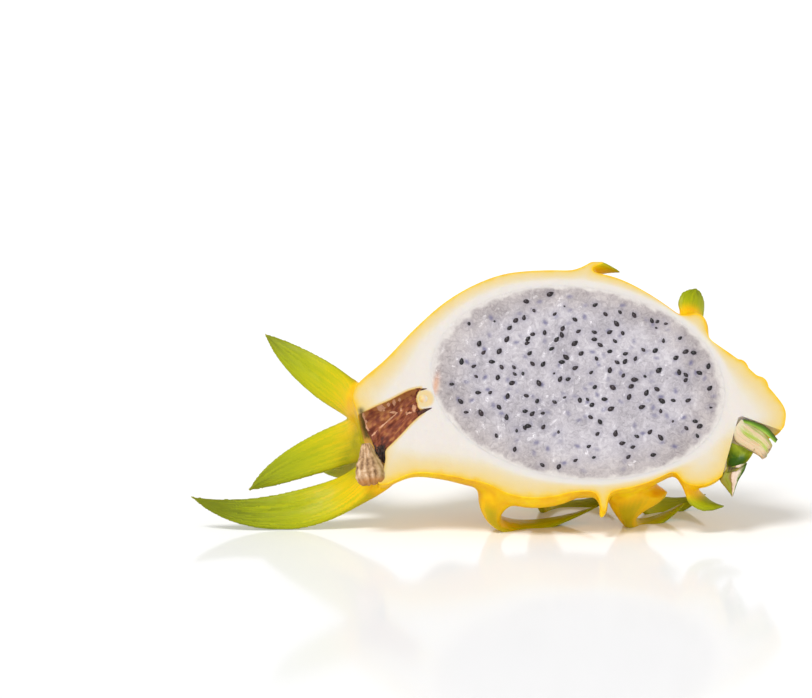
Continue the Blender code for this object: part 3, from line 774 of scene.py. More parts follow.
# Pores of about 0.7 mm over the veins, over lumps of about 6 mm
pores = add_node(tree, "TexNoise", {"Vector": where, "Scale": 1 / 0.0007, "Detail": 3.0})
lumps = add_node(tree, "TexNoise", {"Vector": where, "Scale": 1 / 0.006, "Detail": 2.0})
relief = {}
for height, strength, distance in ((lumps, 0.35, 0.8), (veins, 0.35, 0.4), (pores, 0.3, 0.15)):
    bump = {"Height": height, "Strength": strength, "Distance": distance * MM}
    relief = {"Normal": add_node(tree, "Bump", {**bump, **relief})}
gloss = add_node(
    tree, "MapRange", {"Value": mottle, "From Min": 0.3, "From Max": 0.7, "To Min": 0.34, "To Max": 0.48}
)
set_inputs(tree, shader, {
    "Base Color": peel_dried, "Roughness": gloss, "IOR": 1.42, "Specular IOR Level": 0.25,
    "Subsurface Weight": 0.3, "Subsurface Radius": (1.0, 0.6, 0.2), "Subsurface Scale": 2.5 * MM, **relief,
})
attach(peel, "root")
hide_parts("rind")

# Pulp: wet, faintly lilac white flesh full of fine fibres, which bulges a little past the knife's
# plane and is whiter where it meets the rind. Seeds that lie deeper show through it as blue shadows.
FACE_ROWS = 120
FACE_COLUMNS = 440
BACK_ROWS = 30
RELIEF = 0.22 * MM
PULP_SWELL = FIT_GAP + 0.06 * MM
SEED_COUNT = 130
SEED_LENGTH = 2.15 * MM
SEED_WIDTH = 1.4 * MM
SEED_HEIGHT = 1.3 * MM
SEED_SPACING = 3.0 * MM
SEED_MARGIN = 2.0 * MM
SEED_CROWD_X = 6 * MM
SEED_CROWD_LENGTH = 27 * MM
SEED_CROWD_WIDTH = 13 * MM
SEED_CROWDING = 0.8
SUNK_SEED_COUNT = 110
SUNK_SEED_SPREAD = 0.74 * MM
SUNK_SEED_SPACING = 2.2 * MM
SUNK_SEED_SIZE = Vector((1.25, 0.85))
SHADE_REACH = 1.35 * MM
STAIN_PLACE = Vector((-39.5, -6.5)) * MM
STAIN_SIZE = Vector((0.9, 3.2)) * MM


def seed_places(count, wanted_spacing, seed):
    """Random places in the cut pulp, closer together to the stalk's side of the middle."""
    draw = random.Random(seed)
    places = []
    long_reach = PULP_HALF_LENGTH - SEED_MARGIN
    short_reach = PULP_HALF_WIDTH - SEED_MARGIN
    spacing = wanted_spacing
    tries = 0
    while len(places) < count:
        tries += 1
        if tries % 4000 == 0:
            spacing *= 0.97
        x = draw.uniform(-long_reach, long_reach)
        y = draw.uniform(-short_reach, short_reach)
        if (x / long_reach) ** 2 + (y / short_reach) ** 2 > 1:
            continue
        from_crowd = ((x - SEED_CROWD_X) / SEED_CROWD_LENGTH) ** 2 + (y / SEED_CROWD_WIDTH) ** 2
        if draw.random() > 1 - SEED_CROWDING * (1 - math.exp(-from_crowd)):
            continue
        if all((x - a) ** 2 + (y - b) ** 2 > spacing**2 for a, b, _ in places):
            places.append((x, y, draw.uniform(0, math.pi)))
    return places


surface_seeds = seed_places(SEED_COUNT, SEED_SPACING, 11)
# Some seeds lie as pairs
draw = random.Random(17)
for x, y, turn in surface_seeds[::8]:
    heading = draw.uniform(0, 2 * math.pi)
    reach = draw.uniform(1.9, 2.4) * MM
    surface_seeds.append((x + reach * math.cos(heading), y + reach * math.sin(heading), turn + 0.7))
sunk_seeds = seed_places(SUNK_SEED_COUNT, SUNK_SEED_SPACING, 5)
turns = np.linspace(0, 2 * math.pi, FACE_COLUMNS, endpoint=False)
pulp_points = []
rim_distance = []
for row in range(FACE_ROWS + 1):
    share = max(0.002, row / FACE_ROWS)
    for turn in turns:
        x = (PULP_HALF_LENGTH + PULP_SWELL) * share * math.cos(turn)
        y = (PULP_HALF_WIDTH + PULP_SWELL) * share * math.sin(turn)
        to_rim = (1 - share) * PULP_HALF_WIDTH
        spot = Vector((x, y, 0))
        fold = noise.noise(spot / (4 * MM)) + 0.5 * noise.noise(spot / (1.3 * MM))
        relief = RELIEF * fold * (1 - math.exp(-to_rim / MM)) + 0.04 * MM
        ragged_rim = 1.3 * noise.noise(Vector((x, y, 0.03)) / (3.2 * MM))
        ragged_rim += 0.6 * noise.noise(Vector((x, y, 0.01)) / MM)
        pulp_points.append((x, y, relief))
        rim_distance.append(to_rim / MM + ragged_rim * min(1, to_rim / MM))
for row in range(1, BACK_ROWS + 1):
    down = math.pi / 2 * min(row / BACK_ROWS, 0.998)
    for turn in turns:
        x = (PULP_HALF_LENGTH + PULP_SWELL) * math.cos(down) * math.cos(turn)
        y = (PULP_HALF_WIDTH + PULP_SWELL) * math.cos(down) * math.sin(turn)
        pulp_points.append((x, y, -PULP_DEPTH * math.sin(down)))
        rim_distance.append(0.0)
flat = np.array(pulp_points)[:, :2]
sunk = np.zeros(len(flat))
draw = random.Random(23)
flat_x, flat_y = flat.T
for x, y, turn in sunk_seeds:
    shows = draw.uniform(0.3, 1.0)
    along = (flat_x - x) * math.cos(turn) + (flat_y - y) * math.sin(turn)
    aside = (flat_y - y) * math.cos(turn) - (flat_x - x) * math.sin(turn)
    far = (along / SUNK_SEED_SIZE.x) ** 2 + (aside / SUNK_SEED_SIZE.y) ** 2
    sunk = np.maximum(sunk, shows * np.exp(-((far / SUNK_SEED_SPREAD**2) ** 1.3)))
for x, y, _ in surface_seeds:
    far = (flat_x - x) ** 2 + (flat_y - y) ** 2
    sunk = np.maximum(sunk, 0.33 * np.exp(-far / SHADE_REACH**2))
off_stain = ((flat_x - STAIN_PLACE.x) / STAIN_SIZE.x) ** 2 + ((flat_y - STAIN_PLACE.y) / STAIN_SIZE.y) ** 2
pulp = mesh_object(
    "pulp_flesh", pulp_points, closed_tube(FACE_ROWS + 1 + BACK_ROWS, FACE_COLUMNS), stand @ pulp_place
)
give(pulp.data, rim_mm=rim_distance, sunk=sunk, stain=np.exp(-off_stain))
pulp.data.shade_smooth()
pulp.data.set_sharp_from_angle(angle=math.radians(40))

# Wet pitahaya pulp: fibres about 1.5 mm apart, milky, with a film of juice that makes it gleam
tree, shader = new_material(pulp.data, "wet_pitahaya_pulp")
where = add_node(tree, "TexCoord").outputs["Object"]
rim_mm, sunk_share, stain_share = (
    add_node(tree, "Attribute", attribute_name=name).outputs["Fac"] for name in ("rim_mm", "sunk", "stain")
)
fibres = add_node(
    tree, "TexNoise",
    {"Vector": where, "Scale": 1 / 0.0016, "Detail": 8.0, "Roughness": 0.68, "Distortion": 1.6},
)
clouds = add_node(tree, "TexNoise", {"Vector": where, "Scale": 1 / 0.009, "Detail": 3.0})
grains = add_node(tree, "TexVoronoi", {"Vector": where, "Scale": 1 / 0.0012}, feature="SMOOTH_F1")
flesh = add_node(
    tree, "ValToRGB", {"Fac": ragged(tree, fibres, clouds, 0.1, low=0.35)},
    [(0.3, "#A19BA1"), (0.72, "#D6D1D5"), (0.44, "#B7B1B7"), (0.55, "#C4BEC4")],
)
# Towards the rind the pulp is a little darker and warmer, and its rim is white
flesh_warmed = overlaid(tree, flesh, "#F2EDE5", rim_mm, 10.0, 1.0, blend_type="MULTIPLY")
with_rim = overlaid(tree, flesh_warmed, "#DCD5D0", rim_mm, 1.6, 0.1)
sunk_mask = add_node(tree, "MapRange", {"Value": sunk_share, "To Max": 0.82})
with_sunk = add_node(tree, "Mix", {0: sunk_mask, 6: with_rim, 7: "#5F5C86"}, data_type="RGBA")
stain_mask = add_node(tree, "Math", {0: stain_share, 1: 0.6}, operation="MULTIPLY")
with_stain = add_node(tree, "Mix", {0: stain_mask, 6: with_sunk, 7: "#D98A45"}, data_type="RGBA")
grain_bump = add_node(tree, "Bump", {"Height": grains, "Strength": 0.5, "Distance": 0.25 * MM})
fibre_bump = add_node(
    tree, "Bump", {"Height": fibres, "Strength": 0.7, "Distance": 0.5 * MM, "Normal": grain_bump}
)
set_inputs(tree, shader, {
    "Base Color": with_stain, "Normal": fibre_bump, "Roughness": 0.3, "IOR": 1.36, "Subsurface Weight": 0.25,
    "Subsurface Radius": (1.0, 0.95, 1.0), "Subsurface Scale": 1.0 * MM, "Coat Weight": 0.25,
    "Coat Roughness": 0.12,
})
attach(pulp, "root")
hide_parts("pulp")

# Seeds: small hard black drops, pointed at one end, that stand out of the cut pulp at all turns.
# Their coat is smooth and shiny, so each catches a point of light.
SEED_SIDES = 14
SEED_ROWS = 10
draw = random.Random(3)
seed_points = []
seed_faces = []
for x, y, turn in surface_seeds:
    size = draw.uniform(0.7, 1.08)
    tilt = Matrix.Rotation(draw.uniform(-0.35, 0.35), 4, "Y")
    tilt = tilt @ Matrix.Rotation(draw.uniform(-0.3, 0.3), 4, "X")
    place = Matrix.Translation((x, y, draw.uniform(-0.3, 0.05) * MM)) @ Matrix.Rotation(turn, 4, "Z") @ tilt
    half_size = Vector((SEED_LENGTH, SEED_WIDTH, SEED_HEIGHT)) / 2 * size
    start = len(seed_points)
    for row in range(SEED_ROWS + 1):
        angle = pole_angle(row, SEED_ROWS)
        along = -math.cos(angle)
        thin = math.sin(angle) * (1 - 0.3 * max(0.0, along)) ** 1.5
        for step in range(SEED_SIDES):
            around = 2 * math.pi * step / SEED_SIDES
            spot = Vector((along, thin * math.cos(around), thin * math.sin(around)))
            seed_points.append(place @ (spot * half_size))
    seed_faces += closed_tube(SEED_ROWS + 1, SEED_SIDES, start)
seeds = mesh_object("seeds", seed_points, seed_faces, stand @ pulp_place)
seeds.data.shade_smooth()
tree, shader = new_material(seeds.data, "hard_black_seed_coat")
where = add_node(tree, "TexCoord").outputs["Object"]
# Patches of about 2 mm, so that no two seeds are alike, and pits of 0.4 mm
patches = add_node(tree, "TexNoise", {"Vector": where, "Scale": 1 / 0.0022, "Detail": 2.0})
seed_colour = add_node(tree, "ValToRGB", {"Fac": patches}, [(0.35, "#0B090C"), (0.75, "#35262B")])
pits = add_node(tree, "TexNoise", {"Vector": where, "Scale": 1 / 0.0004, "Detail": 2.0})
pit_bump = add_node(tree, "Bump", {"Height": pits, "Strength": 0.3, "Distance": 0.08 * MM})
set_inputs(tree, shader, {"Base Color": seed_colour, "Normal": pit_bump, "Roughness": 0.28, "IOR": 1.5})
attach(seeds, "root")
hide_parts("pulp")

# Dried flower tube: the papery brown remains of the flower, pleated lengthwise, which line the
# hollow of the crown, fill the two clefts at its inner end and stop in a torn edge at the lip.
TUBE_ROWS = 150
TUBE_HALF_COLUMNS = 110
TUBE_WALL = 0.06 * MM
TUBE_TROUGH = 0.62
TUBE_END = 0.865
PLEAT = 0.35 * MM


def ruled_body(left, right, front, back, rows, half_columns, end=None):
    """A closed body between two edges of the cut face: points, faces, and each point's t, q, is front.

    front and back give the height over the cut face at q across (0 left to 1 right) and t along.
    end gives the share of the edges' length that is used, for each q.
    """
    points = []
    places = []
    for row in range(rows + 1):
        t = row / rows
        for column in range(2 * half_columns):
            is_front = column < half_columns
            turn = math.pi * (column if is_front else 2 * half_columns - column) / half_columns
            q = (1 - math.cos(turn)) / 2
            share = t * (end(q) if end else 1)
            a = along_edge(left, share)
            b = along_edge(right, share)
            height = front(q, t, (b - a).length) if is_front else back(q, t, (b - a).length)
            points.append(a.lerp(b, q) + Vector((0, 0, height)))
            places.append((t, q, is_front))
    return points, closed_tube(rows + 1, 2 * half_columns), places


def in_trough(q):
    return 2 * math.sqrt(max(0.0, q * (1 - q)))


def tube_front(q, t, width):
    spot = Vector((q * 6, t * 5, 0))
    pleats = math.sin(q * 34 + 2.5 * noise.noise(spot)) * 0.5 + 0.9 * noise.noise(spot * 1.7)
    inner_end = 0.35 + 0.65 * min(1, t * 9)
    edge_lip = -0.12 * MM
    return edge_lip - width / 2 * TUBE_TROUGH * in_trough(q) * inner_end + PLEAT * pleats * in_trough(q)


def tube_back(q, t, width):
    return -0.15 * MM - (width / 2 * HOLLOW_DEPTH - TUBE_WALL) * in_trough(q)


def tube_end(q):
    ragged_end = 0.022 * noise.noise(Vector((q * 7, 2.0, 0))) + 0.012 * noise.noise(Vector((q * 23, 5.0, 0)))
    return TUBE_END + ragged_end


tube_points, tube_faces, places = ruled_body(
    UPPER_EDGE, LOWER_EDGE, tube_front, tube_back, TUBE_ROWS, TUBE_HALF_COLUMNS, tube_end
)
# Pale flakes of inner skin: centre and half size in mm, in the cut face
PALE_FLAKES = [
    ((-46.0, -6.6), (0.75, 1.3)), ((-48.0, -7.9), (0.6, 0.5)), ((-47.1, -7.7), (0.9, 0.35)),
    ((-51.6, -7.6), (1.5, 0.3)), ((-55.4, -6.9), (1.3, 0.8)), ((-51.6, -5.2), (0.6, 0.9)),
    ((-50.1, -4.4), (0.5, 0.5)), ((-53.2, -5.9), (0.7, 0.4)), ((-49.6, -6.7), (0.35, 0.6)),
]
CREASE = (Vector((-57.8, -14.0)), Vector((-50.8, -7.6)))
CREASE_WIDTH = 0.2
pale = []
tone = []
for point, (t, q, is_front) in zip(tube_points, places):
    spot = Vector((point.x, point.y)) / MM
    level = max(
        math.exp(-(((spot.x - x) / a) ** 2) - ((spot.y - y) / b) ** 2) for (x, y), (a, b) in PALE_FLAKES
    )
    line = CREASE[1] - CREASE[0]
    share = min(max((spot - CREASE[0]).dot(line) / line.length_squared, 0), 1)
    wander = 0.25 * noise.noise(Vector((share * 6, 0, 9)))
    off = (spot - CREASE[0] - line * share).length + wander
    level = max(level, 0.95 * math.exp(-((off / CREASE_WIDTH) ** 2)))
    torn_edge = max(0.0, (t - 0.955) / 0.045) * max(0.0, 1 - q / 0.55)
    pale.append(max(level, 1.2 * torn_edge) if is_front else 0.0)
    # Tone: darker towards the lower edge near the mouth and lighter along the upper edge; darkest at the
    # inner end by the clefts, painted shade of those recesses
    to_dark = min(1, max(0, (t - 0.6) / 0.25)) * min(1, max(0, (q - 0.5) / 0.35))
    cleft_painted_shade = math.exp(-((t / 0.08) ** 2)) * (0.6 + 0.4 * q)
    to_light = math.exp(-((q / 0.1) ** 2)) * (1 - 0.6 * t)
    spots = 0.35 * noise.noise(Vector((q * 9, t * 12, 6.0)))
    tone.append(0.47 + 0.35 * to_light + spots - 0.55 * to_dark - 0.45 * cleft_painted_shade)
CLEFT_ROWS = 24
CLEFT_SIDES = 24
for (x, y), degrees, length, radius in CLEFTS:
    heading = Vector((math.cos(math.radians(degrees)), math.sin(math.radians(degrees)), 0))
    aside = Vector((-heading.y, heading.x, 0))
    start = len(tube_points)
    for row in range(CLEFT_ROWS + 1):
        t = row / CLEFT_ROWS
        reach = (0.06 + (radius - 0.1) * t) * MM
        for column in range(CLEFT_SIDES):
            turn = 2 * math.pi * column / CLEFT_SIDES
            height = min(reach * math.sin(turn), -(0.04 + 1.1 * t**2) * MM)
            spot = Vector((x, y, 0)) * MM + heading * length * t * MM + aside * reach * math.cos(turn)
            tube_points.append(Vector((spot.x, spot.y, height)))
            pale.append(0.0)
            # The cleft linings are near black at their narrow ends: painted shade of the clefts
            tone.append(-0.05 + 0.25 * t**2)
    tube_faces += closed_tube(CLEFT_ROWS + 1, CLEFT_SIDES, start)
tube = mesh_object("dried_flower_tube", tube_points, tube_faces, stand)
give(tube.data, pale=pale, tone=tone)
tube.data.shade_smooth()
tube.data.set_sharp_from_angle(angle=math.radians(60))
tree, shader = new_material(tube.data, "papery_dried_flower")
where = add_node(tree, "TexCoord").outputs["Object"]
pale_level, tone_level = (
    add_node(tree, "Attribute", attribute_name=name).outputs["Fac"] for name in ("pale", "tone")
)
# The fibres run with the tube: the pattern is stretched along it
HOLLOW_SLOPE = math.radians(38)
upright = add_node(tree, "Mapping", {"Vector": where, "Rotation": (CUT_FACE_ELEVATION - math.pi / 2, 0, 0)})
with_tube = add_node(tree, "Mapping", {"Vector": upright, "Rotation": (0, 0, -HOLLOW_SLOPE)})
stretched = add_node(tree, "Mapping", {"Vector": with_tube, "Scale": (0.3, 1.0, 1.0)})
threads = add_node(
    tree, "TexNoise", {"Vector": stretched, "Scale": 1 / 0.0008, "Detail": 5.0, "Roughness": 0.6}
)
tone_with_threads = add_node(tree, "Math", {0: threads, 1: 0.7, 2: tone_level}, operation="MULTIPLY_ADD")
brown = add_node(
    tree, "ValToRGB", {"Fac": tone_with_threads},
    [(0.2, "#27100B"), (0.98, "#B0703C"), (0.45, "#4F2013"), (0.72, "#7C3A22"), (0.88, "#96512F")],
)
scabs = add_node(
    tree, "TexNoise",
    {"Vector": with_tube, "Scale": 1 / 0.0014, "Detail": 5.0, "Roughness": 0.7, "Distortion": 1.0},
)
flake_level = add_node(tree, "Math", {0: scabs, 1: 2.0, 2: pale_level}, operation="MULTIPLY_ADD")
tube_colour = overlaid(tree, brown, "#D6A27E", flake_level, 1.48, 1.62)
thread_bump = add_node(tree, "Bump", {"Height": threads, "Strength": 0.8, "Distance": 0.35 * MM})
set_inputs(tree, shader, {"Base Color": tube_colour, "Normal": thread_bump, "Roughness": 0.66, "IOR": 1.45})
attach(tube, "root")
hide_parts("flower_tube")

# Style base: the round stump between the two clefts, where the flower's style stood. Fleshy rind,
# cream where it meets the hollow and white further in.
STUMP_CENTRE = Vector((-43.4, -4.7, -0.95)) * MM
STUMP_HALF_SIZE = Vector((2.0, 2.0, 1.2)) * MM
stump = egg("style_base", STUMP_HALF_SIZE, stand @ Matrix.Translation(STUMP_CENTRE), sides=40)
into_rind = [((stand.inverted() @ vertex.co).x / MM + 43.9) / 1.6 for vertex in stump.data.vertices]
give(stump.data, inner=np.clip(into_rind, 0, 1))
stump.data.shade_smooth()
tree, shader = new_material(stump.data, "cream_rind_flesh")
where = add_node(tree, "TexCoord").outputs["Object"]
inner_share = add_node(tree, "Attribute", attribute_name="inner").outputs["Fac"]
cream = add_node(tree, "TexNoise", {"Vector": where, "Scale": 1 / 0.0015, "Detail": 3.0})
cream_colour = add_node(tree, "ValToRGB", {"Fac": cream}, [(0.35, "#DDB452"), (0.65, "#E4CB8C")])
cream_to_white = add_node(tree, "Mix", {0: inner_share, 6: cream_colour, 7: "#DDD3C4"}, data_type="RGBA")
cream_bump = add_node(tree, "Bump", {"Height": cream, "Strength": 0.1, "Distance": 0.3 * MM})
set_inputs(tree, shader, {
    "Base Color": cream_to_white, "Normal": cream_bump, "Roughness": 0.45, "Subsurface Weight": 0.3,
    "Subsurface Scale": 1.5 * MM,
})
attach(stump, "root")
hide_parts("flower_tube")

# Dried petal: one shrivelled flap of the flower at the lower lip, tan like old paper. It hangs from
# a narrow neck, spreads like a fan in upright folds and ends in a crimped, browner lower edge.
PETAL_LIFT = 0.9 * MM
PETAL_ROWS = 110
PETAL_COLUMNS = 160
PETAL_WIDTHS = [
    (-1.0, 0.7), (-0.85, 0.88), (-0.55, 1.0), (-0.15, 0.92), (0.15, 0.8), (0.42, 0.58), (0.8, 0.42),
    (1.0, 0.26),
]
petal_points = []
petal_fold = []
petal_height = []
petal_across = []
for row in range(PETAL_ROWS + 1):
    y = -1 + 2 * row / PETAL_ROWS
    (y0, w0), (y1, w1) = next(
        (a, b) for a, b in zip(PETAL_WIDTHS, PETAL_WIDTHS[1:]) if a[0] <= y <= b[0]
    )
    wide = w0 + (w1 - w0) * (y - y0) / (y1 - y0)
    end = 1 - abs(y) ** 14
    for column in range(PETAL_COLUMNS):
        turn = 2 * math.pi * column / PETAL_COLUMNS
        across = math.cos(turn)
        wander = noise.noise(Vector((across * 2.2, y * 1.5, math.sin(turn))))
        fold = math.sin(across * 15 + 2.2 * wander + 0.6 * y) * (0.75 - 0.25 * y)
        crumple = noise.noise(Vector((across * 3.5, y * 4, math.sin(turn) * 2)))
        thick = (0.6 + 0.08 * fold + 0.26 * crumple) * (1 - 0.35 * y) * math.sqrt(max(0.02, end))
        scallop = 0.03 * math.cos(across * 11 + 2.2 * wander) * max(0.0, -y) ** 6
        edge = 1 + 0.05 * noise.noise(Vector((y * 6, 4.0 * (across > 0), 0)))
        petal_points.append((
            wide * edge * across * PETAL_HALF_SIZE.x * 0.97,
            (y * (0.93 if y < 0 else 1.08) + scallop) * PETAL_HALF_SIZE.y,
            thick * math.sin(turn) * PETAL_HALF_SIZE.z,
        ))
        petal_fold.append(fold)
        petal_height.append(y)
        petal_across.append(across)
petal = mesh_object(
    "dried_petal_flap", petal_points,
    closed_tube(PETAL_ROWS + 1, PETAL_COLUMNS),
    stand @ Matrix.Translation((0, 0, PETAL_LIFT)) @ petal_place,
)
give(petal.data, fold=petal_fold, height=petal_height, across=petal_across)
petal.data.shade_smooth()
tree, shader = new_material(petal.data, "shrivelled_petal")
where = add_node(tree, "TexCoord").outputs["Object"]
fold_level, height_level, across_level = (
    add_node(tree, "Attribute", attribute_name=name).outputs["Fac"] for name in ("fold", "height", "across")
)
paper = add_node(tree, "TexNoise", {"Vector": where, "Scale": 1 / 0.0014, "Detail": 5.0})
# The tan follows the folds, lighter on their ridges and darker in their troughs: painted light and shade
paper_tone_and_fold_shading = add_node(tree, "Math", {0: fold_level, 1: 0.14, 2: paper}, operation="MULTIPLY_ADD")
tan = add_node(
    tree, "ValToRGB", {"Fac": paper_tone_and_fold_shading},
    [(0.28, "#7C5A3A"), (0.76, "#E4C8A6"), (0.42, "#AD875E"), (0.56, "#CBA47C")],
)
tan_to_olive = overlaid(tree, tan, "#9C8146", across_level, 0.2, 0.75, 0.6)
petal_colour = overlaid(tree, tan_to_olive, "#B5762F", height_level, -0.62, -0.92, 0.85)
paper_bump = add_node(tree, "Bump", {"Height": paper, "Strength": 0.7, "Distance": 0.3 * MM})
set_inputs(tree, shader, {"Base Color": petal_colour, "Normal": paper_bump, "Roughness": 0.62})
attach(petal, "root")
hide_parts("dried_petal")

# Dried stamens: thin black threads that hang from the torn end of the tube over its lower lip.
STAMEN_COUNT = 34
STAMEN_RADIUS = 0.17 * MM
STAMEN_START = Vector((-55.4, -19.2, -1.2))
STAMEN_STEPS = 6
stamen_curve = bpy.data.curves.new("dried_stamens", "CURVE")
stamen_curve.dimensions = "3D"
stamen_curve.bevel_depth = STAMEN_RADIUS
stamen_curve.bevel_resolution = 2
stamen_curve.use_fill_caps = True
draw = random.Random(8)
for _ in range(STAMEN_COUNT):
    off = Vector((draw.uniform(-1.5, 1.1), draw.uniform(-0.6, 0.9), draw.uniform(-1.4, 0.6)))
    start = (STAMEN_START + off) * MM
    fall = Vector((draw.uniform(-0.6, 0.9), draw.uniform(-4.2, -2.4), draw.uniform(-0.2, 0.8))) * MM
    bow = Vector((draw.uniform(-0.6, 0.6), 0, draw.uniform(0.2, 0.7))) * MM
    spline = stamen_curve.splines.new("POLY")
    spline.points.add(STAMEN_STEPS)
    for step, point in enumerate(spline.points):
        t = step / STAMEN_STEPS
        spot = stand @ (start + fall * t + bow * math.sin(math.pi * t))
        point.co = (*spot, 1)
        point.radius = 1.1 - 0.6 * t
stamens = add_object("dried_stamens", stamen_curve)
tree, shader = new_material(stamen_curve, "black_dried_thread")
where = add_node(tree, "TexCoord").outputs["Object"]
char = add_node(tree, "TexNoise", {"Vector": where, "Scale": 1 / 0.0015, "Detail": 2.0})
char_colour = add_node(tree, "ValToRGB", {"Fac": char}, [(0.4, "#140A08"), (0.7, "#5A3A28")])
set_inputs(tree, shader, {"Base Color": char_colour, "Roughness": 0.6})
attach(stamens, "root")
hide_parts("flower_tube")

# Stalk core: the torn end of the cactus stem in its notch, pink-cream flesh with fibres along it
# and one light green streak, ragged where it broke off.
CORE_UPPER = [(45.9, -11.0), (49.4, -13.0), (52.2, -15.2), (53.9, -17.6), (54.6, -19.4)]
CORE_LOWER = [(43.6, -14.0), (44.2, -17.2), (47.4, -19.6), (50.4, -21.4), (51.8, -23.0)]
CORE_ROWS = 70
CORE_HALF_COLUMNS = 60


def core_front(q, t, width):
    strings = 0.3 * noise.noise(Vector((q * 11, t * 2.5, 2.0)))
    strings += 0.15 * noise.noise(Vector((q * 26, t * 5, 4.0)))
    return (-0.4 + strings) * MM * min(1.0, 5 * t) * in_trough(q) ** 0.5


def core_back(q, t, width):
    return -0.05 * MM - (0.5 + 0.4 * t) * width * in_trough(q)


def core_end(q):
    return 0.9 + 0.09 * noise.noise(Vector((q * 8, 3.0, 0))) + 0.06 * noise.noise(Vector((q * 27, 1.0, 0)))


core_points, core_faces, places = ruled_body(
    CORE_LOWER, CORE_UPPER, core_front, core_back, CORE_ROWS, CORE_HALF_COLUMNS, core_end
)
core = mesh_object("stalk_core", core_points, core_faces, stand)
give(core.data, across=[q for _, q, _ in places], along=[t for t, _, _ in places])
core.data.shade_smooth()
core.data.set_sharp_from_angle(angle=math.radians(55))
tree, shader = new_material(core.data, "torn_cactus_stem")
across_level, along_level = (
    add_node(tree, "Attribute", attribute_name=name).outputs["Fac"] for name in ("across", "along")
)
# Fibres about 0.5 mm apart that follow the stem
fibre_place = add_node(tree, "CombineXYZ", {0: along_level, 1: across_level})
fibre_scale = add_node(tree, "VectorMath", {0: fibre_place, 1: (2.5, 13.0, 1.0)}, operation="MULTIPLY")
strings = add_node(
    tree, "TexNoise", {"Vector": fibre_scale, "Scale": 1.0, "Detail": 5.0, "Distortion": 0.4}
)
core_bands = add_node(
    tree, "ValToRGB", {"Fac": ragged(tree, across_level, strings, 0.1)},
    [
        (0.0, "#D6BC8E"), (1.0, "#98A048"), (0.2, "#E0C4A0"), (0.42, "#DCC398"), (0.54, "#A9BE44"),
        (0.66, "#CDCB84"), (0.78, "#DDBF9C"), (0.9, "#B7B06E"),
    ],
)
core_started = overlaid(tree, core_bands, "#DFD0AE", along_level, 0.3, 0.0)
core_colour = overlaid(tree, core_started, "#A98A5C", along_level, 0.84, 1.0, 0.5)
string_bump = add_node(tree, "Bump", {"Height": strings, "Strength": 0.7, "Distance": 0.4 * MM})
set_inputs(tree, shader, {
    "Base Color": core_colour, "Normal": string_bump, "Roughness": 0.5, "Subsurface Weight": 0.2,
    "Subsurface Scale": 1.0 * MM,
})
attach(core, "root")
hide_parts("stalk_stub")

# Stalk ribs: what is left of the stem's green ribs. A dark sliver lies along the notch, a hollow
# cup stands under the torn core and a folded, pointed spike hangs below it.
# left edge, right edge, height of the middle over the edges, height over the cut face, thickness
SLIVER = (
    [(46.6, -11.9), (49.8, -13.4), (52.6, -15.4), (55.2, -18.0)],
    [(46.4, -10.8), (50.2, -11.9), (53.4, -13.6), (55.9, -17.0)], 0.35, 0.05, 0.5,
)
CUP = (
    [(41.9, -17.0), (41.7, -20.0), (41.4, -23.2), (41.2, -26.6)],
    [(49.4, -19.6), (48.4, -21.8), (46.5, -24.2), (44.0, -26.3)], -2.6, -0.1, 0.7,
)
SPIKE = (
    [(41.6, -25.2), (39.3, -28.2), (41.0, -31.2), (42.5, -33.2)],
    [(47.2, -23.7), (46.3, -26.0), (44.5, -29.0), (42.9, -33.3)], 0.5, -0.9, 1.2,
)
RIB_ROWS = 60
RIB_HALF_COLUMNS = 44
rib_points = []
rib_faces = []
rib_across = []
rib_along = []
rib_kind = []
for kind, (left, right, belly, height, thickness) in enumerate((SLIVER, CUP, SPIKE)):

    def rib_front(q, t, width):
        grain = 0.12 * noise.noise(Vector((q * 9 + 5 * kind, t * 4, 1.0)))
        arch = math.sin(math.pi * min(1, 0.15 + t)) ** 0.5
        return (height + belly * in_trough(q) ** 1.3 * arch + grain) * MM

    def rib_back(q, t, width):
        return rib_front(q, t, width) - (0.08 + thickness * in_trough(q)) * MM

    points, faces, places = ruled_body(left, right, rib_front, rib_back, RIB_ROWS, RIB_HALF_COLUMNS)
    start = len(rib_points)
    rib_points += points
    rib_faces += [tuple(i + start for i in face) for face in faces]
    rib_across += [q for _, q, _ in places]
    rib_along += [t for t, _, _ in places]
    rib_kind += [kind] * len(points)
ribs = mesh_object("stalk_ribs", rib_points, rib_faces, stand)
give(ribs.data, across=rib_across, along=rib_along, kind=rib_kind)
ribs.data.shade_smooth()
ribs.data.set_sharp_from_angle(angle=math.radians(60))
tree, shader = new_material(ribs.data, "green_cactus_rib")
where = add_node(tree, "TexCoord").outputs["Object"]
across_level, along_level, kind_level = (
    add_node(tree, "Attribute", attribute_name=name).outputs["Fac"] for name in ("across", "along", "kind")
)
# Mottling of about 1.5 mm makes the bands' borders uneven
rind_noise = add_node(tree, "TexNoise", {"Vector": where, "Scale": 1 / 0.0015, "Detail": 4.0})
across_ragged = ragged(tree, across_level, rind_noise, 0.08)
along_ragged = ragged(tree, along_level, rind_noise, 0.08)
sliver_colour = add_node(
    tree, "ValToRGB", {"Fac": across_ragged},
    [(0.0, "#A9C65A"), (1.0, "#4A3A12"), (0.22, "#7FA32C"), (0.5, "#4F7A16"), (0.8, "#4B5A14")],
)
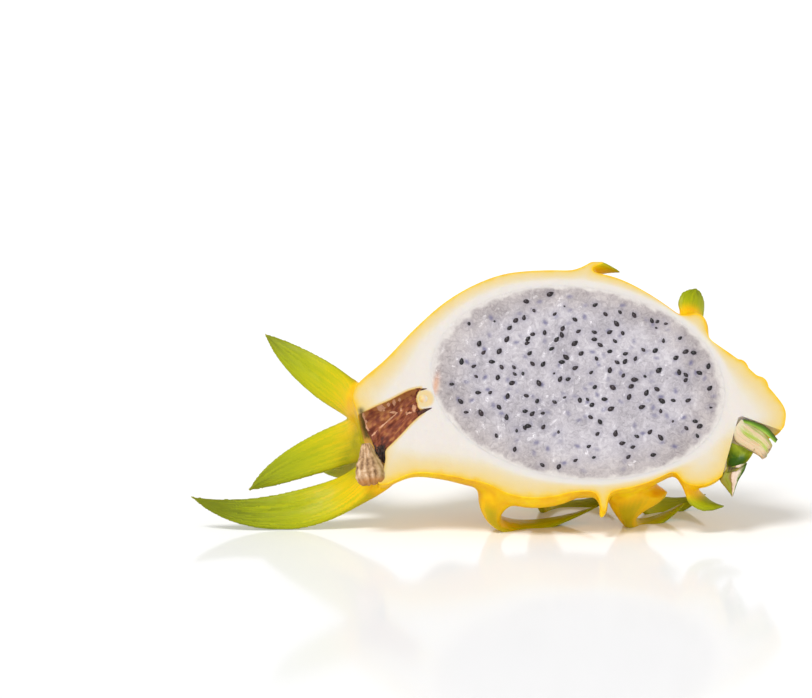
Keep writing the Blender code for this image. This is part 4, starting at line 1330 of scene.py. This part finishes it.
# Down its middle the cup turns dark green, darkest below the deepest part of its hollow: partly its colour,
# partly painted shade
cup_green_and_hollow_shade = add_node(
    tree, "ValToRGB", {"Fac": along_ragged},
    [
        (0.0, "#A3AE1C"), (1.0, "#66661A"), (0.2, "#86980E"), (0.42, "#3A5E06"), (0.75, "#2A4A06"),
        (0.9, "#544018"),
    ],
)
cup_rim = add_node(
    tree, "ValToRGB", {"Fac": across_ragged},
    [
        (0.0, "#FFFFFF"), (1.0, "#FFFFFF"), (0.12, "#707070"), (0.2, "#000000"), (0.78, "#000000"),
        (0.92, "#909090"),
    ],
)
cup_colour = add_node(tree, "Mix", {0: cup_rim, 6: cup_green_and_hollow_shade, 7: "#958C18"}, data_type="RGBA")
spike_colour = add_node(
    tree, "ValToRGB", {"Fac": across_ragged},
    [
        (0.0, "#8A7A14"), (1.0, "#2F4A0C"), (0.3, "#8C8E1A"), (0.44, "#8A6A34"), (0.52, "#DDBFA4"),
        (0.74, "#E9D3C2"), (0.84, "#A9A878"), (0.9, "#52701E"),
    ],
)
rib_colour = sliver_colour
for other, kind in ((cup_colour, 0.5), (spike_colour, 1.5)):
    is_other = add_node(tree, "Math", {0: kind_level, 1: kind}, operation="GREATER_THAN")
    rib_colour = add_node(tree, "Mix", {0: is_other, 6: rib_colour, 7: other}, data_type="RGBA")
rib_bump = add_node(tree, "Bump", {"Height": rind_noise, "Strength": 0.5, "Distance": 0.25 * MM})
set_inputs(tree, shader, {
    "Base Color": rib_colour, "Normal": rib_bump, "Roughness": 0.45, "Specular IOR Level": 0.25,
})
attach(ribs, "root")
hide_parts("stalk_stub")

# Table: a plain white sheet with a faint gloss, in a light tent.
TABLE_REACH = 9
corners = [(-TABLE_REACH, -TABLE_REACH, 0), (TABLE_REACH, -TABLE_REACH, 0)]
corners += [(TABLE_REACH, TABLE_REACH, 0), (-TABLE_REACH, TABLE_REACH, 0)]
floor = mesh_object("floor", corners, [(0, 1, 2, 3)])
tree, shader = new_material(floor.data, "white_acrylic_sheet")
set_inputs(tree, shader, {"Base Color": "#FCFCFC", "Roughness": 0.1, "Specular IOR Level": 0.04})

# The tent's walls are brightest near the table, which keeps the glossy sheet white to the horizon
world = bpy.data.worlds.new("light_tent")
world.use_nodes = True
tree = world.node_tree
heading = add_node(tree, "TexCoord").outputs["Generated"]
height = add_node(tree, "SeparateXYZ", {0: heading}).outputs["Z"]
brightness = add_node(
    tree, "MapRange", {"Value": height, "From Min": 0.25, "From Max": 0.5, "To Min": 1.3, "To Max": 0.39},
    interpolation_type="SMOOTHSTEP",
)
set_inputs(tree, tree.nodes["Background"], {"Color": (1, 1, 1, 1), "Strength": brightness})
bpy.context.scene.world = world
bpy.context.scene.view_settings.view_transform = "Standard"

# One broad lamp over the left shoulder, far enough off to light the whole sheet alike
LAMP_FROM = Vector((-0.28, -0.5, 0.85))
LAMP_SPREAD = math.radians(21)
LAMP_STRENGTH = 1.95
lamp_data = bpy.data.lights.new("broad_lamp", "SUN")
lamp_data.angle = LAMP_SPREAD
lamp_data.energy = LAMP_STRENGTH
lamp = add_object("broad_lamp", lamp_data)
lamp.location = LAMP_FROM
lamp.rotation_euler = (-LAMP_FROM).to_track_quat("-Z", "Y").to_euler()
